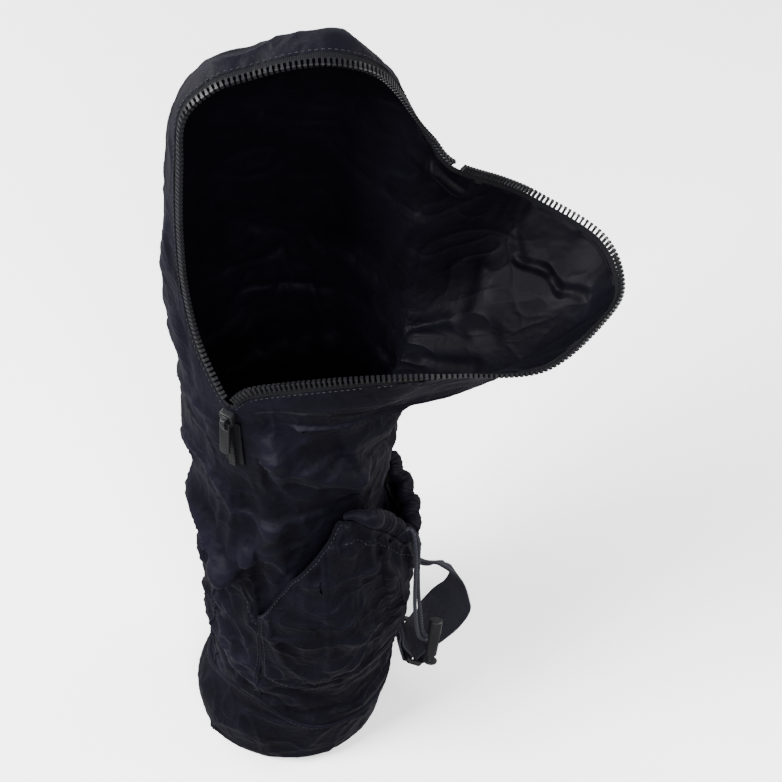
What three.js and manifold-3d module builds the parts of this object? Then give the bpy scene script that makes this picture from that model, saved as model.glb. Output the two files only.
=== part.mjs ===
// A tall soft carrying bag with a round base, a long front zip that is pulled open so that the front
// panel hangs out as a scoop, a hood over the top, a baggy drawstring pocket on the right-hand side
// and a webbing shoulder strap. Millimetres, +Z up, the bag's front faces -Y.
import * as THREE from 'three';
import { mergeVertices } from 'three/addons/utils/BufferGeometryUtils.js';
import Module from 'manifold-3d';

const wasm = await Module();
wasm.setup();

// Driving dimensions of the cloth body
const TUBE_RADIUS = 72.5;
const BASE_RADIUS = 71.8;
const BASE_HEIGHT = 52;
const BASE_ROUNDING = 13;
const FORK_HEIGHT = 410;
const MOUTH_HEIGHT = 230;
const FLAP_REACH = 207.5;
const FLAP_SPREAD = 79;
const CLOTH = 2;
const GAP = 0.3;

// Driving dimensions of the zip
const TAPE_WIDTH = 9;
const TAPE_THICKNESS = 1;
const TAPE_SEAM = 0.9;
const TEETH_WIDTH = 4.6;
const TEETH_THICKNESS = 3;
const CLOSED_ZIP_LENGTH = 40;
const CLOSED_TAPE_WIDTH = 13;
const SLIDER_LENGTH = 13;
const SLIDER_WIDTH = 9.5;
const SLIDER_THICKNESS = 4.4;
const BRIDGE_WIDTH = 3.6;
const BRIDGE_HEIGHT = 4.6;
const PULL_LENGTH = 30;
const PULL_THICKNESS = 1.8;
const PULL_PLAY = 0.5;

// Driving dimensions of the side pocket, its cords and their lock
const POCKET_CHANNEL_RADIUS = 6.8;
const POCKET_GATHER = 1.6;
const CORD_DIAMETER = 3;
const LOCK_LENGTH = 30;
const LOCK_DIAMETER = 9.6;
const LOCK_BORE = 6.6;
const LOCK_BORE_DEPTH = 9;
const BUTTON_STEM_DIAMETER = 5.8;
const BUTTON_STEM_SHOWN = 5;
const BUTTON_FLANGE_DIAMETER = 10.4;
const BUTTON_FLANGE_THICKNESS = 1.8;

// Driving dimensions of the shoulder strap
const WEBBING_WIDTH = 38;
const WEBBING_THICKNESS = 1.8;
const RING_WIDTH = 46;
const RING_BAR = 3.4;
const RING_OPENING = 9;
const RING_ANGLE = 11;
const RING_HEIGHT = 55;
const RING_DROP = 38;
const TAB_RISE = 30;

// How finely each cloth piece is divided
const ROUND_STEPS = 48;
const FINE = 1e-3;

const radians = (degrees) => degrees * Math.PI / 180;
const lerp = (a, b, t) => a + (b - a) * t;
const clamp01 = (t) => Math.min(1, Math.max(0, t));
const smooth = (t) => { const s = clamp01(t); return s * s * (3 - 2 * s); };
const vec = (x, y, z) => new THREE.Vector3(x, y, z);

// Catmull-Rom through four values, with t between the second and the third
function catmullRom(a, b, c, d, t) {
  const t2 = t * t;
  const t3 = t2 * t;
  return 0.5 * (2 * b + (c - a) * t + (2 * a - 5 * b + 4 * c - d) * t2 + (3 * b - a - 3 * c + d) * t3);
}

// Reads one named column of a table between its rows, by the rows' order
function between(rows, column, position) {
  const last = rows.length - 1;
  const i = Math.min(last - 1, Math.max(0, Math.floor(position)));
  const row = (k) => rows[Math.min(last, Math.max(0, k))][column];
  return catmullRom(row(i - 1), row(i), row(i + 1), row(i + 2), position - i);
}

// The position in a table at which its key column reaches a value
function placeIn(rows, key, value) {
  let i = 0;
  while (i < rows.length - 2 && rows[i + 1][key] < value) i += 1;
  return i + clamp01((value - rows[i][key]) / (rows[i + 1][key] - rows[i][key]));
}

// Sections of the closed tube below the mouth. up is a share of the fork height, tube says how far
// the girth has gone from the base's to the tube's, and the rest are shares of the tube's radius.
const sections = [
  { up: 0.000, tube: 0.0, swell: -0.010, lean: -0.04, set: 0.00, flat: -0.09 },
  { up: 0.050, tube: 0.0, swell: 0.010, lean: -0.04, set: 0.00, flat: -0.09 },
  { up: 0.100, tube: 0.3, swell: 0.000, lean: 0.00, set: 0.00, flat: -0.06 },
  { up: 0.160, tube: 1.0, swell: -0.055, lean: 0.14, set: 0.00, flat: -0.02 },
  { up: 0.300, tube: 1.0, swell: -0.020, lean: 0.16, set: 0.00, flat: 0.00 },
  { up: 0.450, tube: 1.0, swell: 0.000, lean: 0.16, set: -0.01, flat: 0.00 },
  { up: 0.600, tube: 1.0, swell: -0.025, lean: 0.165, set: 0.00, flat: 0.00 },
  { up: 0.800, tube: 1.0, swell: -0.010, lean: 0.17, set: 0.00, flat: 0.00 },
  { up: 0.900, tube: 1.0, swell: -0.005, lean: 0.17, set: 0.00, flat: 0.00 },
  { up: 1.000, tube: 1.0, swell: 0.000, lean: 0.165, set: 0.00, flat: 0.00 },
];

// Folds and dents of the closed tube, each a ridge along a line from one place to another. Angles are
// degrees round the tube from +X, up is a share of the fork height, high and wide of the radius.
const folds = [
  { fromAngle: -122, fromUp: 0.940, toAngle: -50, toUp: 0.825, high: 0.075, wide: 0.18 },
  { fromAngle: -112, fromUp: 1.020, toAngle: -62, toUp: 0.930, high: -0.080, wide: 0.16 },
  { fromAngle: -112, fromUp: 0.850, toAngle: -66, toUp: 0.765, high: -0.055, wide: 0.16 },
  { fromAngle: -158, fromUp: 0.710, toAngle: -128, toUp: 0.600, high: 0.070, wide: 0.19 },
  { fromAngle: -128, fromUp: 0.600, toAngle: -98, toUp: 0.745, high: 0.060, wide: 0.18 },
  { fromAngle: -160, fromUp: 0.610, toAngle: -130, toUp: 0.510, high: -0.060, wide: 0.19 },
  { fromAngle: -124, fromUp: 0.510, toAngle: -98, toUp: 0.630, high: -0.050, wide: 0.17 },
  { fromAngle: -12, fromUp: 0.670, toAngle: 34, toUp: 0.640, high: -0.200, wide: 0.48 },
  { fromAngle: -26, fromUp: 0.920, toAngle: 22, toUp: 0.900, high: 0.070, wide: 0.30 },
  { fromAngle: -170, fromUp: 0.340, toAngle: -116, toUp: 0.280, high: 0.045, wide: 0.22 },
  { fromAngle: 70, fromUp: 0.780, toAngle: 165, toUp: 0.600, high: 0.055, wide: 0.26 },
  { fromAngle: 62, fromUp: 0.600, toAngle: 150, toUp: 0.440, high: -0.055, wide: 0.26 },
  { fromAngle: 70, fromUp: 0.400, toAngle: 175, toUp: 0.260, high: 0.050, wide: 0.24 },
];

function sectionAt(height) {
  const place = placeIn(sections, 'up', height / FORK_HEIGHT);
  const read = (column) => between(sections, column, place);
  const girth = lerp(BASE_RADIUS, TUBE_RADIUS, read('tube')) + TUBE_RADIUS * read('swell');
  return {
    x: TUBE_RADIUS * read('lean'),
    y: TUBE_RADIUS * read('set'),
    across: girth,
    deep: girth + TUBE_RADIUS * read('flat'),
  };
}

// The zip's tape keeps the cloth flat beside it: 1 on its line and 0 away from it
const ZIP_ANGLE = -118;
function zipCalm(angle, height) {
  const away = ((angle - ZIP_ANGLE + 540) % 360 - 180) / 16;
  return Math.exp(-(away ** 4)) * smooth((height - FORK_HEIGHT + CLOSED_ZIP_LENGTH + 22) / 20);
}

// How far the cloth stands out of the round section because of the folds
function foldAt(angle, height) {
  let out = 0;
  for (const fold of folds) {
    const arc = (a) => radians(a) * TUBE_RADIUS;
    const along = vec(arc(fold.toAngle - fold.fromAngle), (fold.toUp - fold.fromUp) * FORK_HEIGHT, 0);
    for (const turn of [-360, 0, 360]) {
      const here = vec(arc(angle + turn - fold.fromAngle), height - fold.fromUp * FORK_HEIGHT, 0);
      const share = clamp01(here.dot(along) / along.lengthSq());
      const away = here.addScaledVector(along, -share).length() / (fold.wide * TUBE_RADIUS);
      out += fold.high * TUBE_RADIUS * Math.exp(-away * away);
    }
  }
  return out * (1 - zipCalm(angle, height));
}

// The outer face of the closed tube and the base's wall, by angle and height
function side(angle, height) {
  const s = sectionAt(height);
  const settled = smooth((height - BASE_ROUNDING) / BASE_HEIGHT);
  const out = foldAt(angle, height) * settled;
  const a = radians(angle);
  return vec(s.x + (s.across + out) * Math.cos(a), s.y + (s.deep + out) * Math.sin(a), height);
}

// The mouth's rim on the bag's own side, from the zip's far corner up the right edge, across the
// hood and down the left edge to the slider. at is the column's angle on the tube, x and y are shares
// of the tube's radius from its axis, up of the mouth's height. rise and flare say how the cloth
// leaves the tube, and hx, hy, hz where it comes from just before the rim.
const mouthRim = [
  { at: 16, x: 1.420, y: 0.455, up: 0.530, rise: 0.22, flare: 0.12, hx: -0.14, hy: 0.06, hz: -0.40 },
  { at: 26, x: 1.215, y: 0.386, up: 0.639, rise: 0.32, flare: 0.09, hx: -0.03, hy: 0.16, hz: -0.40 },
  { at: 40, x: 0.975, y: 0.166, up: 0.859, rise: 0.55, flare: 0.05, hx: 0.02, hy: 0.32, hz: -0.04 },
  { at: 52, x: 0.775, y: 0.000, up: 0.977, rise: 0.74, flare: 0.04, hx: 0.02, hy: 0.42, hz: 0.11 },
  { at: 66, x: 0.462, y: -0.110, up: 1.035, rise: 0.80, flare: 0.06, hx: 0.04, hy: 0.56, hz: 0.30 },
  { at: 80, x: 0.148, y: -0.138, up: 1.033, rise: 0.76, flare: 0.06, hx: 0.00, hy: 0.58, hz: 0.18 },
  { at: 94, x: -0.171, y: -0.166, up: 1.008, rise: 0.72, flare: 0.06, hx: 0.00, hy: 0.60, hz: 0.12 },
  { at: 108, x: -0.458, y: -0.221, up: 0.983, rise: 0.72, flare: 0.06, hx: -0.07, hy: 0.56, hz: 0.16 },
  { at: 124, x: -0.703, y: -0.303, up: 0.912, rise: 0.64, flare: 0.08, hx: -0.15, hy: 0.52, hz: 0.08 },
  { at: 143, x: -0.768, y: -0.359, up: 0.767, rise: 0.46, flare: 0.07, hx: -0.26, hy: 0.46, hz: -0.08 },
  { at: 165, x: -0.818, y: -0.386, up: 0.573, rise: 0.28, flare: 0.06, hx: -0.24, hy: 0.36, hz: -0.36 },
  { at: 190, x: -0.823, y: -0.441, up: 0.383, rise: 0.15, flare: 0.03, hx: -0.16, hy: 0.22, hz: -0.34 },
  { at: 212, x: -0.759, y: -0.552, up: 0.226, rise: 0.07, flare: 0.00, hx: -0.06, hy: 0.06, hz: -0.24 },
  { at: 228, x: -0.620, y: -0.759, up: 0.130, rise: 0.045, flare: 0.00, hx: -0.03, hy: 0.03, hz: -0.14 },
  { at: ZIP_ANGLE + 360, x: -0.469, y: -0.917, up: 0.074, rise: 0.025, flare: 0.00, hx: 0.00, hy: 0.00, hz: -0.08 },
];

// The zip's rim on the flap's side, from the slider along the lip, round the tip and back along the
// rear edge. x is a share of the flap's reach from the tube's axis, y of its spread.
const flapRim = [
  { at: -106, x: -0.083, y: -0.911, up: 0.146, rise: 0.04, flare: 0.02, hx: 0.00, hy: -0.02, hz: -0.18 },
  { at: -84, x: 0.165, y: -1.000, up: 0.216, rise: 0.05, flare: 0.08, hx: -0.05, hy: -0.02, hz: -0.28 },
  { at: -66, x: 0.373, y: -0.975, up: 0.226, rise: 0.03, flare: 0.14, hx: -0.10, hy: 0.10, hz: -0.34 },
  { at: -54, x: 0.500, y: -0.937, up: 0.222, rise: 0.02, flare: 0.20, hx: -0.16, hy: 0.34, hz: -0.40 },
  { at: -42, x: 0.752, y: -0.759, up: 0.182, rise: -0.03, flare: 0.38, hx: -0.32, hy: 0.56, hz: -0.42 },
  { at: -30, x: 0.942, y: -0.253, up: 0.188, rise: -0.07, flare: 0.62, hx: -0.46, hy: 0.22, hz: -0.50 },
  { at: -20, x: 1.000, y: 0.101, up: 0.197, rise: -0.08, flare: 0.76, hx: -0.42, hy: -0.03, hz: -0.60 },
  { at: -10, x: 0.948, y: 0.532, up: 0.230, rise: -0.07, flare: 0.70, hx: -0.40, hy: -0.18, hz: -0.62 },
  { at: 0, x: 0.761, y: 0.759, up: 0.303, rise: 0.00, flare: 0.50, hx: -0.28, hy: -0.18, hz: -0.60 },
  { at: 8, x: 0.650, y: 0.696, up: 0.383, rise: 0.08, flare: 0.34, hx: -0.24, hy: -0.06, hz: -0.56 },
];

// Every column of the mouth as four control points, from the fork to the rim, counted from the
// slider along the lip to the far corner, and on over the hood to the slider again
function columnOf(row, reach, spread) {
  const foot = side(row.at, FORK_HEIGHT);
  const axis = sectionAt(FORK_HEIGHT);
  const a = radians(row.at);
  const rim = vec(axis.x + row.x * reach, axis.y + row.y * spread, FORK_HEIGHT + row.up * MOUTH_HEIGHT);
  const leave = foot.clone();
  leave.x += row.flare * TUBE_RADIUS * Math.cos(a);
  leave.y += row.flare * TUBE_RADIUS * Math.sin(a);
  leave.z += row.rise * MOUTH_HEIGHT;
  const arrive = rim.clone().add(vec(row.hx, row.hy, row.hz).multiplyScalar(TUBE_RADIUS));
  return { at: row.at, foot, leave, arrive, rim };
}

const flapColumns = flapRim.map((row) => columnOf(row, FLAP_REACH, FLAP_SPREAD));
const mouthColumns = mouthRim.map((row) => columnOf(row, TUBE_RADIUS, TUBE_RADIUS));
const columns = [mouthColumns[mouthColumns.length - 1], ...flapColumns, ...mouthColumns.slice(0, -1)];
const SLIDER_COLUMN = 0;
const CORNER_COLUMN = flapColumns.length + 1;
const FULL_ROUND = columns.length;

// One of the four control points between columns, in a closed round
function controlAt(name, place) {
  const i = Math.floor(place);
  const pick = (k) => columns[((i + k) % FULL_ROUND + FULL_ROUND) % FULL_ROUND][name];
  const [a, b, c, d] = [pick(-1), pick(0), pick(1), pick(2)];
  const t = place - i;
  return vec(
    catmullRom(a.x, b.x, c.x, d.x, t),
    catmullRom(a.y, b.y, c.y, d.y, t),
    catmullRom(a.z, b.z, c.z, d.z, t),
  );
}

// The angle on the tube at which a column starts
function columnAngle(place) {
  const i = Math.floor(place);
  const angle = (k) => {
    const turn = Math.floor((i + k) / FULL_ROUND);
    const index = (i + k) - turn * FULL_ROUND;
    return (index === SLIDER_COLUMN ? columns[0].at - 360 : columns[index].at) + turn * 360;
  };
  return catmullRom(angle(-1), angle(0), angle(1), angle(2), place - i);
}

// The outer face of the cloth above the fork: t runs from the fork, 0, to the rim, 1
function mouth(place, t) {
  const foot = side(columnAngle(place), FORK_HEIGHT);
  const leave = controlAt('leave', place).add(foot.clone().sub(controlAt('foot', place)));
  const arrive = controlAt('arrive', place);
  const rim = controlAt('rim', place);
  const s = 1 - t;
  return foot.multiplyScalar(s * s * s)
    .addScaledVector(leave, 3 * s * s * t)
    .addScaledVector(arrive, 3 * s * t * t)
    .addScaledVector(rim, t * t * t);
}

// The share along a column at which a given length of it is left before the rim
function shareBeforeRim(place, length) {
  const steps = 160;
  let previous = mouth(place, 1);
  let run = 0;
  for (let i = steps - 1; i > 0; i -= 1) {
    const point = mouth(place, i / steps);
    const step = point.distanceTo(previous);
    if (run + step >= length) return (i + (run + step - length) / step) / steps;
    run += step;
    previous = point;
  }
  return 0;
}

// The outward normal of a surface given by two parameters
function normalOf(surface, u, v, du, dv) {
  const along = surface(u + du, v).sub(surface(u - du, v));
  const up = surface(u, v + dv).sub(surface(u, v - dv));
  return along.cross(up).normalize();
}

// Turns lists of points and faces into a mesh geometry whose faces point out
function geometryFrom(points, faces) {
  const volume = faces.reduce((sum, [a, b, c]) => {
    const cross = points[b].clone().cross(points[c]);
    return sum + points[a].dot(cross);
  }, 0);
  const ordered = volume < 0 ? faces.map(([a, b, c]) => [a, c, b]) : faces;
  const geometry = new THREE.BufferGeometry();
  const numbers = new Float32Array(points.flatMap((p) => [p.x, p.y, p.z]));
  geometry.setAttribute('position', new THREE.BufferAttribute(numbers, 3));
  geometry.setIndex(ordered.flat());
  return geometry;
}

// Whether a quad bends less along its first and third corners than along the other two
function risingDiagonal([a, b, c, d]) {
  return a.distanceTo(c) <= b.distanceTo(d);
}

// A closed wall between two offsets of a surface. columnsAt and rowsAt give the parameters of the
// grid, and offsets the lower and upper distance from the surface along its normal.
function wall({ surface, us, vs, below, above, round = false, du = FINE, dv = FINE }) {
  const points = [];
  const count = us.length;
  const rows = vs(us[0]).length;
  for (const offset of [above, below]) {
    for (const u of us) {
      for (const v of vs(u)) {
        const normal = normalOf(surface, u, v, du, dv);
        const off = typeof offset === 'function' ? offset(u, v) : offset;
        points.push(surface(u, v).addScaledVector(normal, off));
      }
    }
  }
  const at = (layer, i, j) => layer * count * rows + (i % count) * rows + j;
  const faces = [];
  const quad = (a, b, c, d) => faces.push([a, b, c], [a, c, d]);
  const spans = round ? count : count - 1;
  for (let i = 0; i < spans; i += 1) {
    for (let j = 0; j < rows - 1; j += 1) {
      const outer = [at(0, i, j), at(0, i + 1, j), at(0, i + 1, j + 1), at(0, i, j + 1)];
      const inner = [at(1, i, j), at(1, i + 1, j), at(1, i + 1, j + 1), at(1, i, j + 1)];
      if (risingDiagonal(outer.map((k) => points[k]))) {
        quad(...outer);
        quad(inner[0], inner[3], inner[2], inner[1]);
      } else {
        quad(outer[1], outer[2], outer[3], outer[0]);
        quad(inner[1], inner[0], inner[3], inner[2]);
      }
    }
    quad(at(0, i, 0), at(1, i, 0), at(1, i + 1, 0), at(0, i + 1, 0));
    quad(at(0, i, rows - 1), at(0, i + 1, rows - 1), at(1, i + 1, rows - 1), at(1, i, rows - 1));
  }
  if (!round) {
    for (let j = 0; j < rows - 1; j += 1) {
      quad(at(0, 0, j), at(0, 0, j + 1), at(1, 0, j + 1), at(1, 0, j));
      quad(at(0, spans, j), at(1, spans, j), at(1, spans, j + 1), at(0, spans, j + 1));
    }
  }
  return geometryFrom(points, faces);
}

const spread = (from, to, steps) => Array.from({ length: steps + 1 }, (_, i) => lerp(from, to, i / steps));
const aroundTube = (steps) => Array.from({ length: steps }, (_, i) => -180 + i * 360 / steps);

// A closed bar swept along frames, each with a centre, two cross directions and the section's outline
function sweep(frames) {
  const sides = frames[0].outline.length;
  const points = [];
  for (const frame of frames) {
    for (const [a, b] of frame.outline) {
      points.push(frame.centre.clone().addScaledVector(frame.first, a).addScaledVector(frame.second, b));
    }
  }
  const faces = [];
  const last = frames.length - 1;
  for (let i = 0; i < last; i += 1) {
    for (let k = 0; k < sides; k += 1) {
      const next = (k + 1) % sides;
      faces.push([i * sides + k, i * sides + next, (i + 1) * sides + next]);
      faces.push([i * sides + k, (i + 1) * sides + next, (i + 1) * sides + k]);
    }
  }
  for (let k = 1; k < sides - 1; k += 1) {
    faces.push([0, k + 1, k]);
    faces.push([last * sides, last * sides + k, last * sides + k + 1]);
  }
  return geometryFrom(points, faces);
}

const ovalOutline = (first, second, sides) => Array.from({ length: sides }, (_, k) => {
  const a = 2 * Math.PI * (k + 0.5) / sides;
  return [first * Math.cos(a), second * Math.sin(a)];
});
const flatOutline = (width, thickness) => [
  [-width / 2, -thickness / 2],
  [width / 2, -thickness / 2],
  [width / 2, thickness / 2],
  [-width / 2, thickness / 2],
];

// Booleans
function toManifold(geometry) {
  const bare = geometry.clone();
  bare.deleteAttribute('normal');
  bare.deleteAttribute('uv');
  const merged = mergeVertices(bare, 1e-4);
  return new wasm.Manifold(new wasm.Mesh({
    numProp: 3,
    vertProperties: new Float32Array(merged.attributes.position.array),
    triVerts: new Uint32Array(merged.index.array),
  }));
}

function fromManifold(solid) {
  const mesh = solid.getMesh();
  const geometry = new THREE.BufferGeometry();
  const positions = new Float32Array(mesh.vertProperties);
  geometry.setAttribute('position', new THREE.BufferAttribute(positions, 3));
  geometry.setIndex([...mesh.triVerts]);
  return geometry;
}

const cut = (body, ...tools) => fromManifold(
  tools.reduce((solid, tool) => solid.subtract(toManifold(tool)), toManifold(body)),
);

const join = (body, ...others) => fromManifold(
  others.reduce((solid, other) => solid.add(toManifold(other)), toManifold(body)),
);

// Materials
const cloth = () => new THREE.MeshStandardMaterial({ color: 0x24222e, roughness: 0.62, metalness: 0 });
const lining = () => new THREE.MeshStandardMaterial({ color: 0x1f1c28, roughness: 0.6, metalness: 0 });
const tape = () => new THREE.MeshStandardMaterial({ color: 0x17171b, roughness: 0.8, metalness: 0 });
const moulded = () => new THREE.MeshStandardMaterial({ color: 0x1d1e22, roughness: 0.4, metalness: 0 });
const webbing = () => new THREE.MeshStandardMaterial({ color: 0x2b2a37, roughness: 0.75, metalness: 0 });

const bag = new THREE.Group();
function add(name, geometry, material) {
  const mesh = new THREE.Mesh(geometry, material);
  mesh.name = name;
  bag.add(mesh);
  return mesh;
}

// Base cup: a flat bottom, a rounded edge and a wall up to the base's sagging seam
const seamSag = { angle: -128, wide: 34, high: 0.62 };
function seamHeight(angle) {
  const away = ((angle - seamSag.angle + 540) % 360 - 180) / seamSag.wide;
  return BASE_HEIGHT * (1 + seamSag.high * Math.exp(-away * away));
}

function cupPoint(angle, share, inset) {
  const edge = side(angle, BASE_ROUNDING);
  const centre = sectionAt(BASE_ROUNDING);
  const out = Math.hypot(edge.x - centre.x, edge.y - centre.y);
  const direction = vec((edge.x - centre.x) / out, (edge.y - centre.y) / out, 0);
  const origin = vec(centre.x, centre.y, 0);
  if (share <= 0.5) {
    const run = (out - BASE_ROUNDING) * share * 2;
    return origin.addScaledVector(direction, run).add(vec(0, 0, inset));
  }
  const turn = clamp01((share - 0.5) / 0.3) * Math.PI / 2;
  if (share <= 0.8) {
    const radius = BASE_ROUNDING - inset;
    const run = out - BASE_ROUNDING + radius * Math.sin(turn);
    return origin.addScaledVector(direction, run).setZ(BASE_ROUNDING - radius * Math.cos(turn));
  }
  const top = seamHeight(angle) - GAP;
  const height = lerp(BASE_ROUNDING, top, (share - 0.8) / 0.2);
  const normal = normalOf(side, angle, height, 0.05, 0.05);
  normal.z *= smooth((share - 0.8) / 0.1);
  return side(angle, height).addScaledVector(normal.normalize(), -inset);
}

function baseCup() {
  const shares = [0.5, 0.6, 0.7, 0.8, 0.9, 1];
  const angles = aroundTube(ROUND_STEPS);
  const points = [];
  for (const inset of [0, CLOTH]) {
    for (const angle of angles) {
      for (const share of shares) points.push(cupPoint(angle, share, inset));
    }
  }
  const centre = sectionAt(BASE_ROUNDING);
  points.push(vec(centre.x, centre.y, 0), vec(centre.x, centre.y, CLOTH));
  const rows = shares.length;
  const count = angles.length;
  const at = (layer, i, j) => layer * count * rows + (i % count) * rows + j;
  const pole = (layer) => 2 * count * rows + layer;
  const faces = [];
  const quad = (a, b, c, d) => faces.push([a, b, c], [a, c, d]);
  for (let i = 0; i < count; i += 1) {
    for (let j = 0; j < rows - 1; j += 1) {
      quad(at(0, i, j), at(0, i + 1, j), at(0, i + 1, j + 1), at(0, i, j + 1));
      quad(at(1, i, j), at(1, i, j + 1), at(1, i + 1, j + 1), at(1, i + 1, j));
    }
    quad(at(0, i, rows - 1), at(0, i + 1, rows - 1), at(1, i + 1, rows - 1), at(1, i, rows - 1));
    faces.push([pole(0), at(0, i + 1, 0), at(0, i, 0)]);
    faces.push([pole(1), at(1, i, 0), at(1, i + 1, 0)]);
  }
  return geometryFrom(points, faces);
}
add('base_cup', baseCup(), cloth());

// The closed tube from the base's seam to the fork
add('tube_lower', wall({
  surface: side,
  us: aroundTube(ROUND_STEPS),
  vs: (angle) => spread(seamHeight(angle) + GAP, FORK_HEIGHT - GAP, 14),
  below: -CLOTH,
  above: 0,
  round: true,
  du: 0.05,
  dv: 0.05,
}), cloth());

// The cloth above the fork, cut into its sewn panels between columns
const SEAM = 0.02;
const HOOD_RIGHT = CORNER_COLUMN + 2.6;
const HOOD_LEFT = CORNER_COLUMN + 8.4;
const HOOD_SEAM = 0.6;
const startShare = (place) => GAP / mouth(place, 0).distanceTo(mouth(place, FINE)) * FINE;
const clothEnd = (place) => shareBeforeRim(place, TAPE_WIDTH + TAPE_SEAM);

function panel(name, fromColumn, toColumn, steps, rows, lowShare, highShare) {
  add(name, wall({
    surface: mouth,
    us: spread(fromColumn + SEAM, toColumn - SEAM, steps),
    vs: (place) => spread(lowShare(place), highShare(place), rows),
    below: -CLOTH,
    above: 0,
  }), cloth());
}

panel('front_flap', SLIDER_COLUMN, CORNER_COLUMN, 30, 8, startShare, clothEnd);
panel('side_wall_right', CORNER_COLUMN, HOOD_RIGHT, 6, 9, startShare, clothEnd);
panel('back_panel', HOOD_RIGHT, HOOD_LEFT, 15, 7, startShare, () => HOOD_SEAM - 0.001);
panel('hood', HOOD_RIGHT, HOOD_LEFT, 18, 7, () => HOOD_SEAM + 0.001, clothEnd);
panel('side_wall_left', HOOD_LEFT, FULL_ROUND, 13, 7, startShare, clothEnd);

// Zip tape along both sides of the opening, in the middle of the cloth's thickness
function zipTape(name, fromColumn, toColumn, steps) {
  add(name, wall({
    surface: mouth,
    us: spread(fromColumn + SEAM, toColumn - SEAM, steps),
    vs: (place) => [shareBeforeRim(place, TAPE_WIDTH), 1],
    below: -(CLOTH + TAPE_THICKNESS) / 2,
    above: -(CLOTH - TAPE_THICKNESS) / 2,
  }), tape());
}
zipTape('zip_tape_flap', SLIDER_COLUMN, CORNER_COLUMN, 52);
zipTape('zip_tape_bag', CORNER_COLUMN, FULL_ROUND, 48);

// Rows of moulded teeth, each as one rail just past the tape's edge
const TEETH_END = 0.3;
function teethRail(name, fromColumn, toColumn, steps) {
  const frames = spread(fromColumn + TEETH_END, toColumn - TEETH_END, steps).map((place) => {
    const normal = normalOf(mouth, place, 1 - FINE, FINE, FINE);
    const beyond = mouth(place, 1).sub(mouth(place, 1 - FINE)).normalize();
    const along = mouth(place + FINE, 1).sub(mouth(place - FINE, 1)).normalize();
    const across = beyond.addScaledVector(along, -beyond.dot(along)).normalize();
    const centre = mouth(place, 1)
      .addScaledVector(across, TEETH_WIDTH / 2 + 1.5 * GAP)
      .addScaledVector(normal, -CLOTH / 2);
    return {
      centre,
      first: across,
      second: along.clone().cross(across).normalize(),
      outline: flatOutline(TEETH_WIDTH, TEETH_THICKNESS),
    };
  });
  add(name, sweep(frames), moulded());
}
teethRail('zip_teeth_flap', SLIDER_COLUMN, CORNER_COLUMN, 54);
teethRail('zip_teeth_bag', CORNER_COLUMN, FULL_ROUND, 50);

// The short closed stretch of the zip below the slider, standing on the tube's cloth
const tapeHalfAngle = CLOSED_TAPE_WIDTH / 2 / TUBE_RADIUS * 180 / Math.PI;
add('zip_closed_tape', wall({
  surface: side,
  us: spread(ZIP_ANGLE - tapeHalfAngle, ZIP_ANGLE + tapeHalfAngle, 3),
  vs: () => spread(FORK_HEIGHT - CLOSED_ZIP_LENGTH, FORK_HEIGHT - GAP, 7),
  below: GAP,
  above: GAP + TAPE_THICKNESS,
  du: 0.05,
  dv: 0.05,
}), tape());
const teethHalfAngle = TEETH_WIDTH / 2 / TUBE_RADIUS * 180 / Math.PI;
add('zip_closed_teeth', wall({
  surface: side,
  us: spread(ZIP_ANGLE - teethHalfAngle, ZIP_ANGLE + teethHalfAngle, 2),
  vs: () => spread(FORK_HEIGHT - CLOSED_ZIP_LENGTH, FORK_HEIGHT - 6 * GAP, 7),
  below: 2 * GAP + TAPE_THICKNESS,
  above: 2 * GAP + TAPE_THICKNESS + TEETH_THICKNESS,
  du: 0.05,
  dv: 0.05,
}), moulded());


// Zip slider standing on the cloth at the foot of the opening, with a bridge for its pull
const sliderSeat = GAP + 0.1;
const sliderNormal = normalOf(mouth, SLIDER_COLUMN, 0.5, FINE, FINE);
const sliderUp = mouth(SLIDER_COLUMN, 1).sub(mouth(SLIDER_COLUMN, 0)).normalize();
sliderUp.addScaledVector(sliderNormal, -sliderUp.dot(sliderNormal)).normalize();
const sliderRight = sliderUp.clone().cross(sliderNormal).normalize();
const sliderFoot = side(ZIP_ANGLE, FORK_HEIGHT).addScaledVector(sliderUp, GAP);

const slider = new THREE.Group();
slider.matrixAutoUpdate = false;
slider.matrix.makeBasis(sliderRight, sliderUp, sliderNormal).setPosition(
  sliderFoot.clone().addScaledVector(sliderNormal, sliderSeat),
);
bag.add(slider);

function extrudeAlongX(outline, width) {
  const shape = new THREE.Shape(outline.map(([y, z]) => new THREE.Vector2(y, z)));
  const geometry = new THREE.ExtrudeGeometry(shape, { depth: width, bevelEnabled: false });
  // the outline's first number runs along +Y and its second along +Z
  geometry.applyMatrix4(new THREE.Matrix4().makeBasis(vec(0, 1, 0), vec(0, 0, 1), vec(1, 0, 0)));
  return geometry.translate(-width / 2, 0, 0);
}

const PULL_BAR = 1.8;
const PULL_ARM = 1.3;
const BRIDGE_LEG = 1.6;
const BRIDGE_LENGTH = 9;
const bridgeFoot = (SLIDER_LENGTH - BRIDGE_LENGTH) / 2;
const hingeHeight = SLIDER_THICKNESS + PULL_PLAY + PULL_BAR / 2;
const hingeUp = bridgeFoot + BRIDGE_LEG + PULL_PLAY + PULL_BAR / 2;

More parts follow.
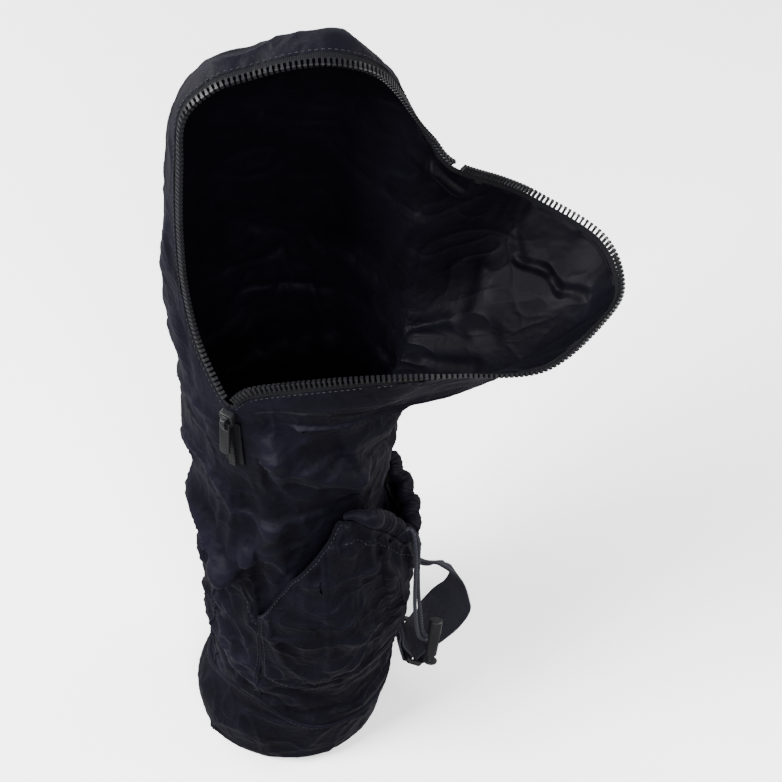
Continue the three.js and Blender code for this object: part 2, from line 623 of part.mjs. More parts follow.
function sliderBody() {
  const shoulder = SLIDER_LENGTH * 0.45;
  const waist = SLIDER_WIDTH * 0.34;
  const half = SLIDER_WIDTH / 2;
  const shape = new THREE.Shape();
  shape.moveTo(-waist, 0);
  shape.lineTo(waist, 0);
  shape.quadraticCurveTo(half, shoulder * 0.4, half, shoulder);
  shape.lineTo(half, SLIDER_LENGTH - 2);
  shape.quadraticCurveTo(half, SLIDER_LENGTH, half - 2, SLIDER_LENGTH);
  shape.lineTo(-half + 2, SLIDER_LENGTH);
  shape.quadraticCurveTo(-half, SLIDER_LENGTH, -half, SLIDER_LENGTH - 2);
  shape.lineTo(-half, shoulder);
  shape.quadraticCurveTo(-half, shoulder * 0.4, -waist, 0);
  const plate = new THREE.ExtrudeGeometry(shape, {
    depth: SLIDER_THICKNESS, bevelEnabled: false, curveSegments: 3,
  });
  const low = SLIDER_THICKNESS - 0.5;
  const high = SLIDER_THICKNESS + BRIDGE_HEIGHT;
  const arch = extrudeAlongX([
    [bridgeFoot, low],
    [bridgeFoot + BRIDGE_LENGTH, low],
    [bridgeFoot + BRIDGE_LENGTH, high - 1.4],
    [bridgeFoot + BRIDGE_LENGTH - 1.4, high],
    [bridgeFoot + 1.4, high],
    [bridgeFoot, high - 1.4],
  ], BRIDGE_WIDTH);
  const window = extrudeAlongX([
    [bridgeFoot + BRIDGE_LEG, SLIDER_THICKNESS],
    [bridgeFoot + BRIDGE_LENGTH - BRIDGE_LEG, SLIDER_THICKNESS],
    [bridgeFoot + BRIDGE_LENGTH - BRIDGE_LEG, high - BRIDGE_LEG],
    [bridgeFoot + BRIDGE_LEG, high - BRIDGE_LEG],
  ], BRIDGE_WIDTH + 2);
  return cut(join(plate, arch), window);
}
const sliderMesh = new THREE.Mesh(sliderBody(), moulded());
sliderMesh.name = 'zip_slider';
slider.add(sliderMesh);

// The pull: a flat tab whose top bar runs through the bridge and whose arms pass on both its sides
function pullTab() {
  const half = BRIDGE_WIDTH / 2 + PULL_PLAY + PULL_ARM;
  const reach = Math.hypot(
    BRIDGE_LEG + PULL_PLAY + PULL_BAR / 2,
    BRIDGE_HEIGHT - PULL_PLAY - PULL_BAR / 2,
  ) + PULL_THICKNESS / 2 + PULL_PLAY;
  const shape = new THREE.Shape();
  const top = PULL_BAR / 2;
  const bottom = -PULL_LENGTH;
  shape.moveTo(-half, top);
  shape.lineTo(-half, bottom + 2.5);
  shape.quadraticCurveTo(-half, bottom, 0, bottom);
  shape.quadraticCurveTo(half, bottom, half, bottom + 2.5);
  shape.lineTo(half, top);
  shape.closePath();
  const hole = new THREE.Path();
  const inner = half - PULL_ARM;
  hole.moveTo(-inner, -top);
  hole.lineTo(inner, -top);
  hole.lineTo(inner, -reach);
  hole.lineTo(-inner, -reach);
  hole.closePath();
  shape.holes.push(hole);
  const geometry = new THREE.ExtrudeGeometry(shape, {
    depth: PULL_THICKNESS, bevelEnabled: false, curveSegments: 3,
  });
  return geometry.translate(0, 0, -PULL_THICKNESS / 2);
}
const pull = new THREE.Mesh(pullTab(), moulded());
pull.name = 'zip_pull';
pull.position.set(0, hingeUp, hingeHeight);
// it hangs plumb although the slider leans
pull.rotation.x = -Math.atan2(-sliderNormal.z, sliderUp.z);
slider.add(pull);

// Side pocket: a baggy panel sewn on the tube, from its left edge round to the back on the right.
// foot and top are shares of the fork height, open how far the top edge stands off the tube and
// bulge how far the panel's middle does, as shares of the tube's radius.
const pocketRows = [
  { at: -112, foot: 0.320, top: 0.500, open: 0.055, bulge: 0.02 },
  { at: -98, foot: 0.300, top: 0.580, open: 0.055, bulge: 0.09 },
  { at: -82, foot: 0.290, top: 0.680, open: 0.055, bulge: 0.13 },
  { at: -64, foot: 0.290, top: 0.770, open: 0.075, bulge: 0.12 },
  { at: -48, foot: 0.300, top: 0.710, open: 0.120, bulge: 0.09 },
  { at: -34, foot: 0.300, top: 0.625, open: 0.140, bulge: 0.07 },
  { at: -20, foot: 0.300, top: 0.565, open: 0.140, bulge: 0.04 },
  { at: 0, foot: 0.300, top: 0.565, open: 0.140, bulge: 0.01 },
  { at: 20, foot: 0.300, top: 0.600, open: 0.130, bulge: 0.00 },
  { at: 38, foot: 0.310, top: 0.635, open: 0.100, bulge: 0.01 },
  { at: 54, foot: 0.320, top: 0.660, open: 0.055, bulge: 0.01 },
];
const pocketAt = (angle, column) => between(pocketRows, column, placeIn(pocketRows, 'at', angle));
const POCKET_FROM = pocketRows[0].at;
const POCKET_TO = pocketRows[pocketRows.length - 1].at;
const CHANNEL_FROM = -63;
const gathers = 11;

// Slanted ridges of the slack pocket cloth: v runs from its foot, 0, to its top, 1
const pocketFolds = [
  { fromAngle: -88, fromV: 0.86, toAngle: -56, toV: 0.28, high: 0.055, wide: 0.11 },
  { fromAngle: -100, fromV: 0.50, toAngle: -66, toV: 0.12, high: -0.035, wide: 0.11 },
  { fromAngle: -70, fromV: 0.80, toAngle: -34, toV: 0.34, high: -0.040, wide: 0.12 },
  { fromAngle: -40, fromV: 0.70, toAngle: 4, toV: 0.20, high: 0.040, wide: 0.14 },
];

function pocketPanel(angle, v) {
  const foot = pocketAt(angle, 'foot') * FORK_HEIGHT;
  const top = pocketAt(angle, 'top') * FORK_HEIGHT;
  const height = lerp(foot, top, v);
  const seat = CLOTH + 4 * GAP;
  const toEdge = smooth((angle - POCKET_FROM) / 8) * smooth((POCKET_TO - angle) / 8);
  const slack = Math.sin(Math.PI * clamp01(v));
  let out = pocketAt(angle, 'open') * smooth((v - 0.15) / 0.85) + pocketAt(angle, 'bulge') * slack ** 0.8;
  for (const fold of pocketFolds) {
    const arc = (a) => radians(a) * TUBE_RADIUS;
    const rise = (a) => a * (top - foot);
    const along = vec(arc(fold.toAngle - fold.fromAngle), rise(fold.toV - fold.fromV), 0);
    const here = vec(arc(angle - fold.fromAngle), rise(v - fold.fromV), 0);
    const share = clamp01(here.dot(along) / along.lengthSq());
    const away = here.addScaledVector(along, -share).length() / (fold.wide * TUBE_RADIUS);
    out += fold.high * Math.exp(-away * away) * toEdge * slack;
  }
  const wave = Math.cos(gathers * 2 * Math.PI * (angle - CHANNEL_FROM) / (POCKET_TO - CHANNEL_FROM));
  const drawn = smooth((v - 0.45) / 0.5) * toEdge * smooth((angle - CHANNEL_FROM + 14) / 10);
  const gathered = POCKET_GATHER * wave * drawn;
  const normal = normalOf(side, angle, height, 0.5, 0.5);
  return side(angle, height).addScaledVector(normal, seat + out * TUBE_RADIUS * toEdge + gathered * 0.5);
}
add('side_pocket', wall({
  surface: pocketPanel,
  us: spread(POCKET_FROM, POCKET_TO, 28),
  vs: () => spread(0, 1, 7),
  below: -CLOTH,
  above: 0,
  du: 0.4,
  dv: 0.01,
}), cloth());

// Drawstring channel: the rolled rim of the pocket, thick in front and thin where it is sewn down
function channelFrame(angle) {
  const step = 0.4;
  const edge = pocketPanel(angle, 1);
  const along = pocketPanel(angle + step, 1).sub(pocketPanel(angle - step, 1)).normalize();
  const normal = normalOf(pocketPanel, angle, 0.98, step, 0.01);
  const upward = normal.clone().cross(along).normalize();
  const ends = Math.min(angle - CHANNEL_FROM, POCKET_TO - 3 - angle);
  const taper = 1 - 0.1 * smooth((angle + 24) / 12);
  const radius = Math.min(
    POCKET_CHANNEL_RADIUS * taper * (0.3 + 0.7 * smooth(ends / 12)),
    pocketAt(angle, 'open') * TUBE_RADIUS - GAP,
  );
  const out = lerp(-0.5, 0.5, smooth((angle + 24) / 12)) * CLOTH;
  const centre = edge.addScaledVector(upward, radius + 2 * GAP).addScaledVector(normal, out);
  return { centre, first: normal, second: upward, radius, outline: ovalOutline(radius, radius, 8) };
}
add('pocket_channel', sweep(spread(CHANNEL_FROM, POCKET_TO - 3, 24).map(channelFrame)), cloth());

// Drawcords: both leave the channel's outer face at the front corner and hang down to the lock
const drawcordRouteA = [
  [86.5, -30.7, 254.6], [89.6, -30.9, 255.2], [91.8, -32.6, 252.6], [93.0, -35.4, 246.2],
  [93.6, -38.0, 237.0], [93.8, -40.0, 226.0], [93.6, -41.5, 214.0], [93.4, -42.6, 202.0],
  [93.4, -43.2, 190.0], [93.6, -43.6, 178.0], [94.2, -43.8, 167.0], [95.0, -43.8, 157.0],
  [96.0, -43.6, 148.0], [97.6, -42.9, 141.2], [100.2, -42.2, 137.9], [103.4, -42.3, 137.2],
  [106.8, -42.4, 136.8],
];
const drawcordRouteB = [
  [91.2, -27.7, 245.2], [93.8, -28.4, 245.8], [95.4, -30.6, 243.6], [96.0, -33.4, 238.0],
  [95.8, -35.6, 230.0], [95.6, -37.0, 220.0], [95.6, -37.9, 209.0], [95.8, -38.5, 198.0],
  [96.2, -39.0, 187.0], [96.8, -39.4, 177.0], [97.6, -39.9, 167.0], [98.3, -40.2, 157.5],
  [98.9, -40.5, 149.5], [100.2, -40.7, 143.4], [103.2, -40.9, 140.5], [107.2, -41.1, 139.9],
];
function cord(name, route) {
  const curve = new THREE.CatmullRomCurve3(route.map(([x, y, z]) => vec(x, y, z)));
  const shape = new THREE.Shape(
    ovalOutline(CORD_DIAMETER / 2, CORD_DIAMETER / 2, 8).map(([a, b]) => new THREE.Vector2(a, b)),
  );
  const geometry = new THREE.ExtrudeGeometry(shape, { extrudePath: curve, steps: 18 });
  add(name, geometry, moulded());
}
cord('drawcord_a', drawcordRouteA);
cord('drawcord_b', drawcordRouteB);

// Cord lock: a barrel with a cross slot for the two cords and a sprung button in its lower end
const lockTop = vec(109.5, -36, 153);
const lockDown = vec(-0.12, -0.36, -0.92).normalize();
const lockCross = vec(1, 0, 0).addScaledVector(lockDown, -lockDown.x).normalize();
const lockSide = lockDown.clone().cross(lockCross).normalize();
const LOCK_SLOT_CENTRE = 16;
const LOCK_SLOT_LONG = 2 * CORD_DIAMETER + 2.6;
const LOCK_SLOT_WIDE = CORD_DIAMETER + 1.2;
const BUTTON_TRAVEL = 3.5;

const lock = new THREE.Group();
lock.matrixAutoUpdate = false;
lock.matrix.makeBasis(lockSide, lockDown.clone().negate(), lockCross.clone().negate()).setPosition(lockTop);
bag.add(lock);

function lockBarrel() {
  const r = LOCK_DIAMETER / 2;
  const bore = LOCK_BORE / 2;
  const profile = [
    [0, 0], [r - 0.9, 0], [r, -0.9], [r, -LOCK_LENGTH * 0.45], [r - 0.8, -LOCK_LENGTH],
    [bore, -LOCK_LENGTH], [bore, -LOCK_LENGTH + LOCK_BORE_DEPTH], [0, -LOCK_LENGTH + LOCK_BORE_DEPTH],
  ];
  const body = new THREE.LatheGeometry(profile.reverse().map(([x, y]) => new THREE.Vector2(x, y)), 14);
  const slot = new THREE.BoxGeometry(LOCK_SLOT_WIDE, LOCK_SLOT_LONG, LOCK_DIAMETER + 4);
  slot.translate(0, -LOCK_SLOT_CENTRE, 0);
  return cut(body, slot);
}
const barrel = new THREE.Mesh(lockBarrel(), moulded());
barrel.name = 'cord_lock_barrel';
lock.add(barrel);

function lockButton() {
  const stem = BUTTON_STEM_DIAMETER / 2;
  const flange = BUTTON_FLANGE_DIAMETER / 2;
  const inside = LOCK_BORE_DEPTH - BUTTON_TRAVEL - GAP;
  const profile = [
    [0, inside], [stem, inside], [stem, -BUTTON_STEM_SHOWN], [flange, -BUTTON_STEM_SHOWN],
    [flange, -BUTTON_STEM_SHOWN - BUTTON_FLANGE_THICKNESS],
    [0, -BUTTON_STEM_SHOWN - BUTTON_FLANGE_THICKNESS],
  ];
  return new THREE.LatheGeometry(profile.reverse().map(([x, y]) => new THREE.Vector2(x, y)), 14);
}
const button = new THREE.Mesh(lockButton(), moulded());
button.name = 'cord_lock_button';
button.position.set(0, -LOCK_LENGTH, 0);
lock.add(button);

// Webbing: a flat band along a smooth line, with its width turned by given directions
function ribbon(name, rows, width, steps) {
  const line = new THREE.CatmullRomCurve3(rows.map((row) => row.point), false, 'centripetal');
  const frames = spread(0, rows.length - 1, steps).map((place) => {
    const t = clamp01(place / (rows.length - 1));
    const i = Math.min(rows.length - 2, Math.floor(place));
    const along = line.getTangent(t);
    const turned = rows[i].width.clone().lerp(rows[i + 1].width, place - i);
    const first = turned.addScaledVector(along, -turned.dot(along)).normalize();
    return {
      centre: line.getPoint(t),
      first,
      second: along.clone().cross(first).normalize(),
      outline: flatOutline(width, WEBBING_THICKNESS),
    };
  });
  add(name, sweep(frames), webbing());
}

// Webbing loop beside the base's seam: a flat ring on a short tab, with the strap's lower end in it
const bearing = vec(Math.cos(radians(RING_ANGLE)), Math.sin(radians(RING_ANGLE)), 0);
const across = vec(Math.sin(radians(RING_ANGLE)), -Math.cos(radians(RING_ANGLE)), 0);
const barRadius = RING_BAR * Math.SQRT1_2 + GAP + WEBBING_THICKNESS / 2;
const ringDown = bearing.clone().multiplyScalar(Math.cos(radians(RING_DROP)));
ringDown.z = -Math.sin(radians(RING_DROP));
const tabSeat = side(RING_ANGLE, RING_HEIGHT + TAB_RISE);
const upperBar = tabSeat.clone().setZ(RING_HEIGHT)
  .addScaledVector(bearing, GAP + WEBBING_THICKNESS + barRadius + 1);
const lowerBar = upperBar.clone().addScaledVector(ringDown, RING_BAR + RING_OPENING);

const ring = new THREE.Group();
ring.matrixAutoUpdate = false;
ring.matrix.makeBasis(across, ringDown, across.clone().cross(ringDown)).setPosition(upperBar);
bag.add(ring);

function webbingRing() {
  const half = RING_WIDTH / 2;
  const start = -RING_BAR / 2;
  const end = RING_BAR * 1.5 + RING_OPENING;
  const corner = RING_BAR * 0.7;
  const shape = new THREE.Shape([
    [-half + corner, start], [half - corner, start], [half, start + corner], [half, end - corner],
    [half - corner, end], [-half + corner, end], [-half, end - corner], [-half, start + corner],
  ].map(([x, y]) => new THREE.Vector2(x, y)));
  const open = half - RING_BAR;
  shape.holes.push(new THREE.Path([
    [-open, RING_BAR / 2], [-open, RING_BAR / 2 + RING_OPENING],
    [open, RING_BAR / 2 + RING_OPENING], [open, RING_BAR / 2],
  ].map(([x, y]) => new THREE.Vector2(x, y))));
  const geometry = new THREE.ExtrudeGeometry(shape, { depth: RING_BAR, bevelEnabled: false });
  return geometry.translate(0, 0, -RING_BAR / 2);
}
const ringMesh = new THREE.Mesh(webbingRing(), moulded());
ringMesh.name = 'strap_ring';
ring.add(ringMesh);

// The tab is a hairpin of webbing: sewn flat on the tube, round the ring's upper bar and back
const row = (point, width = across) => ({ point, width: width.clone() });
const roundBar = (bar, degrees, out = 0) => bar.clone()
  .addScaledVector(bearing, Math.cos(radians(degrees)) * (barRadius + out))
  .add(vec(0, 0, Math.sin(radians(degrees)) * (barRadius + out)));
const onTube = (height, layer) => side(RING_ANGLE, height).addScaledVector(
  bearing,
  2 * GAP + WEBBING_THICKNESS / 2 + layer * (WEBBING_THICKNESS + GAP),
);
ribbon('strap_tab', [
  row(onTube(RING_HEIGHT + TAB_RISE, 0)),
  row(onTube(RING_HEIGHT + TAB_RISE * 0.6, 0)),
  row(roundBar(upperBar, 165)),
  row(roundBar(upperBar, 215)),
  row(roundBar(upperBar, 265)),
  row(roundBar(upperBar, 315)),
  row(roundBar(upperBar, 5)),
  row(onTube(RING_HEIGHT + TAB_RISE * 0.6, 1.35)),
  row(onTube(RING_HEIGHT + TAB_RISE, 1)),
], WEBBING_WIDTH, 24);

// The shoulder strap from the ring through a slack loop on the right, low round the back and up to
// the back panel. x and y are shares of the tube's radius from its axis, up of the fork height.
const strapRows = [
  { x: 1.22, y: 0.20, up: 0.139, wx: 0.18, wy: -0.97, wz: -0.04 },
  { x: 1.30, y: 0.22, up: 0.177, wx: 0.28, wy: -0.90, wz: -0.25 },
  { x: 1.46, y: 0.28, up: 0.210, wx: 0.40, wy: -0.85, wz: -0.30 },
  { x: 1.59, y: 0.38, up: 0.236, wx: 0.40, wy: -0.85, wz: 0.05 },
  { x: 1.58, y: 0.48, up: 0.272, wx: 0.22, wy: -0.80, wz: 0.50 },
  { x: 1.42, y: 0.56, up: 0.286, wx: 0.10, wy: -0.68, wz: 0.72 },
  { x: 1.24, y: 0.63, up: 0.280, wx: 0.05, wy: -0.60, wz: 0.78 },
  { x: 1.09, y: 0.76, up: 0.276, wx: 0.12, wy: -0.48, wz: 0.86 },
  { x: 0.87, y: 0.99, up: 0.285, wx: 0.25, wy: -0.30, wz: 0.90 },
  { x: 0.60, y: 1.18, up: 0.325, wx: 0.50, wy: -0.22, wz: 0.80 },
  { x: 0.33, y: 1.30, up: 0.410, wx: 0.80, wy: -0.12, wz: 0.45 },
  { x: 0.12, y: 1.34, up: 0.550, wx: 0.98, wy: 0, wz: 0.12 },
  { x: 0.03, y: 1.34, up: 0.740, wx: 1, wy: 0, wz: 0 },
  { x: 0.00, y: 1.31, up: 0.930, wx: 1, wy: 0, wz: 0 },
  { x: 0.00, y: 1.27, up: 1.110, wx: 1, wy: 0, wz: 0 },
];
const BACK_COLUMN = CORNER_COLUMN + 5.7;
const STRAP_END_SHARE = 0.28;
function strapEnd(share, stand) {
  const normal = normalOf(mouth, BACK_COLUMN, share, FINE, FINE);
  const off = 2 * GAP + WEBBING_THICKNESS / 2 + stand;
  return row(mouth(BACK_COLUMN, share).addScaledVector(normal, off), vec(1, 0, 0));
}
const tubeAxis = sectionAt(FORK_HEIGHT);
ribbon('shoulder_strap', [
  row(lowerBar.clone().addScaledVector(bearing, 4.2).add(vec(0, 0, 14.5)), vec(0.2, -0.96, -0.08)),
  row(lowerBar.clone().addScaledVector(bearing, 0.6).add(vec(0, 0, 8.5)), vec(0.18, -0.97, -0.04)),
  row(roundBar(lowerBar, 165)),
  row(roundBar(lowerBar, 215)),
  row(roundBar(lowerBar, 270)),
  row(roundBar(lowerBar, 325)),
  row(roundBar(lowerBar, 10, 0.3)),
  ...strapRows.map(({ x, y, up, wx, wy, wz }) => row(
    vec(tubeAxis.x + x * TUBE_RADIUS, tubeAxis.y + y * TUBE_RADIUS, up * FORK_HEIGHT),
    vec(wx, wy, wz),
  )),
  strapEnd(STRAP_END_SHARE, 5),
  strapEnd(STRAP_END_SHARE + 0.06, 1.6),
  strapEnd(STRAP_END_SHARE + 0.12, 0.6),
], WEBBING_WIDTH, 64);

export default bag;
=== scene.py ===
import math

import bpy
import bmesh
import numpy as np
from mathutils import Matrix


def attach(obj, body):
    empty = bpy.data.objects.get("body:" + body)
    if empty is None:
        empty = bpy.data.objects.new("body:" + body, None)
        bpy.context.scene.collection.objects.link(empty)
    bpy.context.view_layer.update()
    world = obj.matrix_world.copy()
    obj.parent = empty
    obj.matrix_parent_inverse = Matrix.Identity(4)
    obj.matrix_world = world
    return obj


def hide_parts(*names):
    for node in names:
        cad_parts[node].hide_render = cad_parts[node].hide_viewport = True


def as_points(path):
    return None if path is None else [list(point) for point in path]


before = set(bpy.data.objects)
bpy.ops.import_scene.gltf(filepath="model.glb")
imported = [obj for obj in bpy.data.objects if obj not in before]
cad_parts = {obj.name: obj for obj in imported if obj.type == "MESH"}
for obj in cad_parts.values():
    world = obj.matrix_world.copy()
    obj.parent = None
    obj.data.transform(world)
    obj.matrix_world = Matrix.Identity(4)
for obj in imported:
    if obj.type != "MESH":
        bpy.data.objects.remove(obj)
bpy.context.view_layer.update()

# Camera at the photograph's viewing angle

camera_data = bpy.data.cameras.new("camera")
camera_data.sensor_width = 36
camera_data.lens = 89.77
camera_data.clip_start = 0.01
camera = bpy.data.objects.new("camera", camera_data)
camera.location = (0.0765, -0.843, 1.327)
camera.rotation_euler = (math.radians(41.2), 0, 0)
bpy.context.scene.collection.objects.link(camera)
bpy.context.scene.camera = camera

# Sizes of the bag, in metres

TUBE_RADIUS = 0.0725
BASE_RADIUS = 0.0718
BASE_HEIGHT = 0.052
BASE_ROUNDING = 0.013
FORK_HEIGHT = 0.410
MOUTH_HEIGHT = 0.230
FLAP_REACH = 0.2075
FLAP_SPREAD = 0.079
GAP = 0.0003
WALL = 0.002
CLOTH = 0.0015
TAPE_SHOWN = 0.0038
TAPE_TUCKED = 0.002
CLOSED_TAPE_HALF = 0.0065
CLOSED_ZIP_LENGTH = 0.040
TOOTH_PITCH = 0.0032
TEETH_WIDTH = 0.0046
CORD_DIAMETER = 0.003
WEBBING_WIDTH = 0.038
WEBBING_THICKNESS = 0.0018
CHANNEL_RADIUS = 0.0068
ZIP_ANGLE = -118


# Small tools for tables, points and noise

def blend_four(values, t):
    a, b, c, d = values
    return 0.5 * (2 * b + (c - a) * t + (2 * a - 5 * b + 4 * c - d) * t ** 2
                  + (3 * b - a - 3 * c + d) * t ** 3)


def catmull(values, place, closed=False):
    values = np.asarray(values, float)
    place = np.asarray(place, float)
    count = len(values)
    i = np.floor(place).astype(int)
    if not closed:
        i = np.clip(i, 0, count - 2)
    t = place - i
    if values.ndim > 1:
        t = t.reshape(t.shape + (1,) * (values.ndim - 1))

    def pick(k):
        return values[(i + k) % count] if closed else values[np.clip(i + k, 0, count - 1)]

    return blend_four([pick(k) for k in (-1, 0, 1, 2)], t)


def smooth(t):
    t = np.clip(t, 0, 1)
    return t * t * (3 - 2 * t)


def unit(v):
    return v / np.maximum(np.linalg.norm(v, axis=-1, keepdims=True), 1e-12)


def stack(x, y, z):
    return np.stack(np.broadcast_arrays(x, y, z), axis=-1)


def run_along(line):
    return np.concatenate([[0], np.cumsum(np.linalg.norm(np.diff(line, axis=0), axis=1))])


def points_at(at, run, points):
    return np.stack([np.interp(at, run, points[:, k]) for k in range(3)], axis=-1)


def full_turn(sides):
    return np.arange(sides) / sides * 2 * np.pi


def noise(points, size, seed=0):
    q = np.asarray(points) / size + 137.31
    i = np.floor(q).astype(np.int64)
    f = q - i
    f = f * f * (3 - 2 * f)
    total = 0
    for corner in range(8):
        bits = [(corner >> k) & 1 for k in range(3)]
        j = i + np.array(bits)
        h = (j[..., 0] * 374761393 + j[..., 1] * 668265263 + j[..., 2] * 1442695041
             + seed * 974634777) & 0xFFFFFFFF
        h = ((h ^ (h >> 13)) * 1274126177) & 0xFFFFFFFF
        value = ((h ^ (h >> 16)) & 0xFFFF) / 32767.5 - 1
        weight = 1
        for k in range(3):
            weight = weight * (f[..., k] if bits[k] else 1 - f[..., k])
        total = total + value * weight
    return total


def creases(points, size, seed=0, sharp=5):
    warp = stack(noise(points, size * 1.3, seed + 11), noise(points, size * 1.3, seed + 12),
                 noise(points, size * 1.3, seed + 13))
    n = noise(points + warp * size * 0.45, size, seed)
    return np.clip(1 - np.abs(n) * 1.7, 0, 1) ** sharp


def normal_of(surface, u, v, du, dv):
    return unit(np.cross(surface(u + du, v) - surface(u - du, v), surface(u, v + dv) - surface(u, v - dv)))


# The bag's form: sections and folds of the tube, and the columns of the opened mouth

sections = np.array([
    # up, tube, swell, lean, set, flat
    (0.000, 0.0, -0.010, -0.04, 0.00, -0.09),
    (0.050, 0.0, 0.010, -0.04, 0.00, -0.09),
    (0.100, 0.3, 0.000, 0.00, 0.00, -0.06),
    (0.160, 1.0, -0.055, 0.14, 0.00, -0.02),
    (0.300, 1.0, -0.020, 0.16, 0.00, 0.00),
    (0.450, 1.0, 0.000, 0.16, -0.01, 0.00),
    (0.600, 1.0, -0.025, 0.165, 0.00, 0.00),
    (0.800, 1.0, -0.010, 0.17, 0.00, 0.00),
    (0.900, 1.0, -0.005, 0.17, 0.00, 0.00),
    (1.000, 1.0, 0.000, 0.165, 0.00, 0.00),
])

folds = [
    # from angle, from up, to angle, to up, high, wide
    (-122, 0.940, -50, 0.825, 0.075, 0.18),
    (-112, 1.020, -62, 0.930, -0.080, 0.16),
    (-112, 0.850, -66, 0.765, -0.055, 0.16),
    (-158, 0.710, -128, 0.600, 0.070, 0.19),
    (-128, 0.600, -98, 0.745, 0.060, 0.18),
    (-160, 0.610, -130, 0.510, -0.060, 0.19),
    (-124, 0.510, -98, 0.630, -0.050, 0.17),
    (-12, 0.670, 34, 0.640, -0.200, 0.48),
    (-26, 0.920, 22, 0.900, 0.070, 0.30),
    (-170, 0.340, -116, 0.280, 0.045, 0.22),
    (70, 0.780, 165, 0.600, 0.055, 0.26),
    (62, 0.600, 150, 0.440, -0.055, 0.26),
    (70, 0.400, 175, 0.260, 0.050, 0.24),
]


def section_at(height):
    place = np.interp(np.asarray(height) / FORK_HEIGHT, sections[:, 0], np.arange(len(sections)))
    row = catmull(sections, place)
    girth = BASE_RADIUS + (TUBE_RADIUS - BASE_RADIUS) * row[..., 1] + TUBE_RADIUS * row[..., 2]
    return TUBE_RADIUS * row[..., 3], TUBE_RADIUS * row[..., 4], girth, girth + TUBE_RADIUS * row[..., 5]


def from_line(x, y, along_x, along_y):
    share = np.clip((x * along_x + y * along_y) / (along_x ** 2 + along_y ** 2 + 1e-15), 0, 1)
    return np.hypot(x - along_x * share, y - along_y * share), share


def zip_calm(angle, height):
    away = ((angle - ZIP_ANGLE + 540) % 360 - 180) / 16
    return np.exp(-away ** 4) * smooth((height - FORK_HEIGHT + CLOSED_ZIP_LENGTH + 0.022) / 0.020)


def fold_at(angle, height):
    out = 0
    for from_angle, from_up, to_angle, to_up, high, wide in folds:
        along = np.radians(to_angle - from_angle) * TUBE_RADIUS
        for turn in (-360, 0, 360):
            x = np.radians(angle + turn - from_angle) * TUBE_RADIUS
            away, _ = from_line(x, height - from_up * FORK_HEIGHT, along, (to_up - from_up) * FORK_HEIGHT)
            out = out + high * TUBE_RADIUS * np.exp(-(away / (wide * TUBE_RADIUS)) ** 2)
    return out * (1 - zip_calm(angle, height))


def side(angle, height):
    angle, height = np.broadcast_arrays(np.asarray(angle, float), np.asarray(height, float))
    x, y, wide, deep = section_at(height)
    out = fold_at(angle, height) * smooth((height - BASE_ROUNDING) / BASE_HEIGHT)
    a = np.radians(angle)
    return stack(x + (wide + out) * np.cos(a), y + (deep + out) * np.sin(a), height)


mouth_rim = [
    # at, x, y, up, rise, flare, hx, hy, hz
    (16, 1.420, 0.455, 0.530, 0.22, 0.12, -0.14, 0.06, -0.40),
    (26, 1.215, 0.386, 0.639, 0.32, 0.09, -0.03, 0.16, -0.40),
    (40, 0.975, 0.166, 0.859, 0.55, 0.05, 0.02, 0.32, -0.04),
    (52, 0.775, 0.000, 0.977, 0.74, 0.04, 0.02, 0.42, 0.11),
    (66, 0.462, -0.110, 1.035, 0.80, 0.06, 0.04, 0.56, 0.30),
    (80, 0.148, -0.138, 1.033, 0.76, 0.06, 0.00, 0.58, 0.18),
    (94, -0.171, -0.166, 1.008, 0.72, 0.06, 0.00, 0.60, 0.12),
    (108, -0.458, -0.221, 0.983, 0.72, 0.06, -0.07, 0.56, 0.16),
    (124, -0.703, -0.303, 0.912, 0.64, 0.08, -0.15, 0.52, 0.08),
    (143, -0.768, -0.359, 0.767, 0.46, 0.07, -0.26, 0.46, -0.08),
    (165, -0.818, -0.386, 0.573, 0.28, 0.06, -0.24, 0.36, -0.36),
    (190, -0.823, -0.441, 0.383, 0.15, 0.03, -0.16, 0.22, -0.34),
    (212, -0.759, -0.552, 0.226, 0.07, 0.00, -0.06, 0.06, -0.24),
    (228, -0.620, -0.759, 0.130, 0.045, 0.00, -0.03, 0.03, -0.14),
    (ZIP_ANGLE + 360, -0.469, -0.917, 0.074, 0.025, 0.00, 0.00, 0.00, -0.08),
]

flap_rim = [
    (-106, -0.083, -0.911, 0.146, 0.04, 0.02, 0.00, -0.02, -0.18),
    (-84, 0.165, -1.000, 0.216, 0.05, 0.08, -0.05, -0.02, -0.28),
    (-66, 0.373, -0.975, 0.226, 0.03, 0.14, -0.10, 0.10, -0.34),
    (-54, 0.500, -0.937, 0.222, 0.02, 0.20, -0.16, 0.34, -0.40),
    (-42, 0.752, -0.759, 0.182, -0.03, 0.38, -0.32, 0.56, -0.42),
    (-30, 0.942, -0.253, 0.188, -0.07, 0.62, -0.46, 0.22, -0.50),
    (-20, 1.000, 0.101, 0.197, -0.08, 0.76, -0.42, -0.03, -0.60),
    (-10, 0.948, 0.532, 0.230, -0.07, 0.70, -0.40, -0.18, -0.62),
    (0, 0.761, 0.759, 0.303, 0.00, 0.50, -0.28, -0.18, -0.60),
    (8, 0.650, 0.696, 0.383, 0.08, 0.34, -0.24, -0.06, -0.56),
]


def column_of(row, reach, spread):
    at, x, y, up, rise, flare, hx, hy, hz = row
    foot = side(at, FORK_HEIGHT)
    axis = section_at(FORK_HEIGHT)
    a = math.radians(at)
    rim = np.array([axis[0] + x * reach, axis[1] + y * spread, FORK_HEIGHT + up * MOUTH_HEIGHT])
    leave = foot + np.array([flare * TUBE_RADIUS * math.cos(a), flare * TUBE_RADIUS * math.sin(a),
                             rise * MOUTH_HEIGHT])
    arrive = rim + np.array([hx, hy, hz]) * TUBE_RADIUS
    return at, foot, leave, arrive, rim


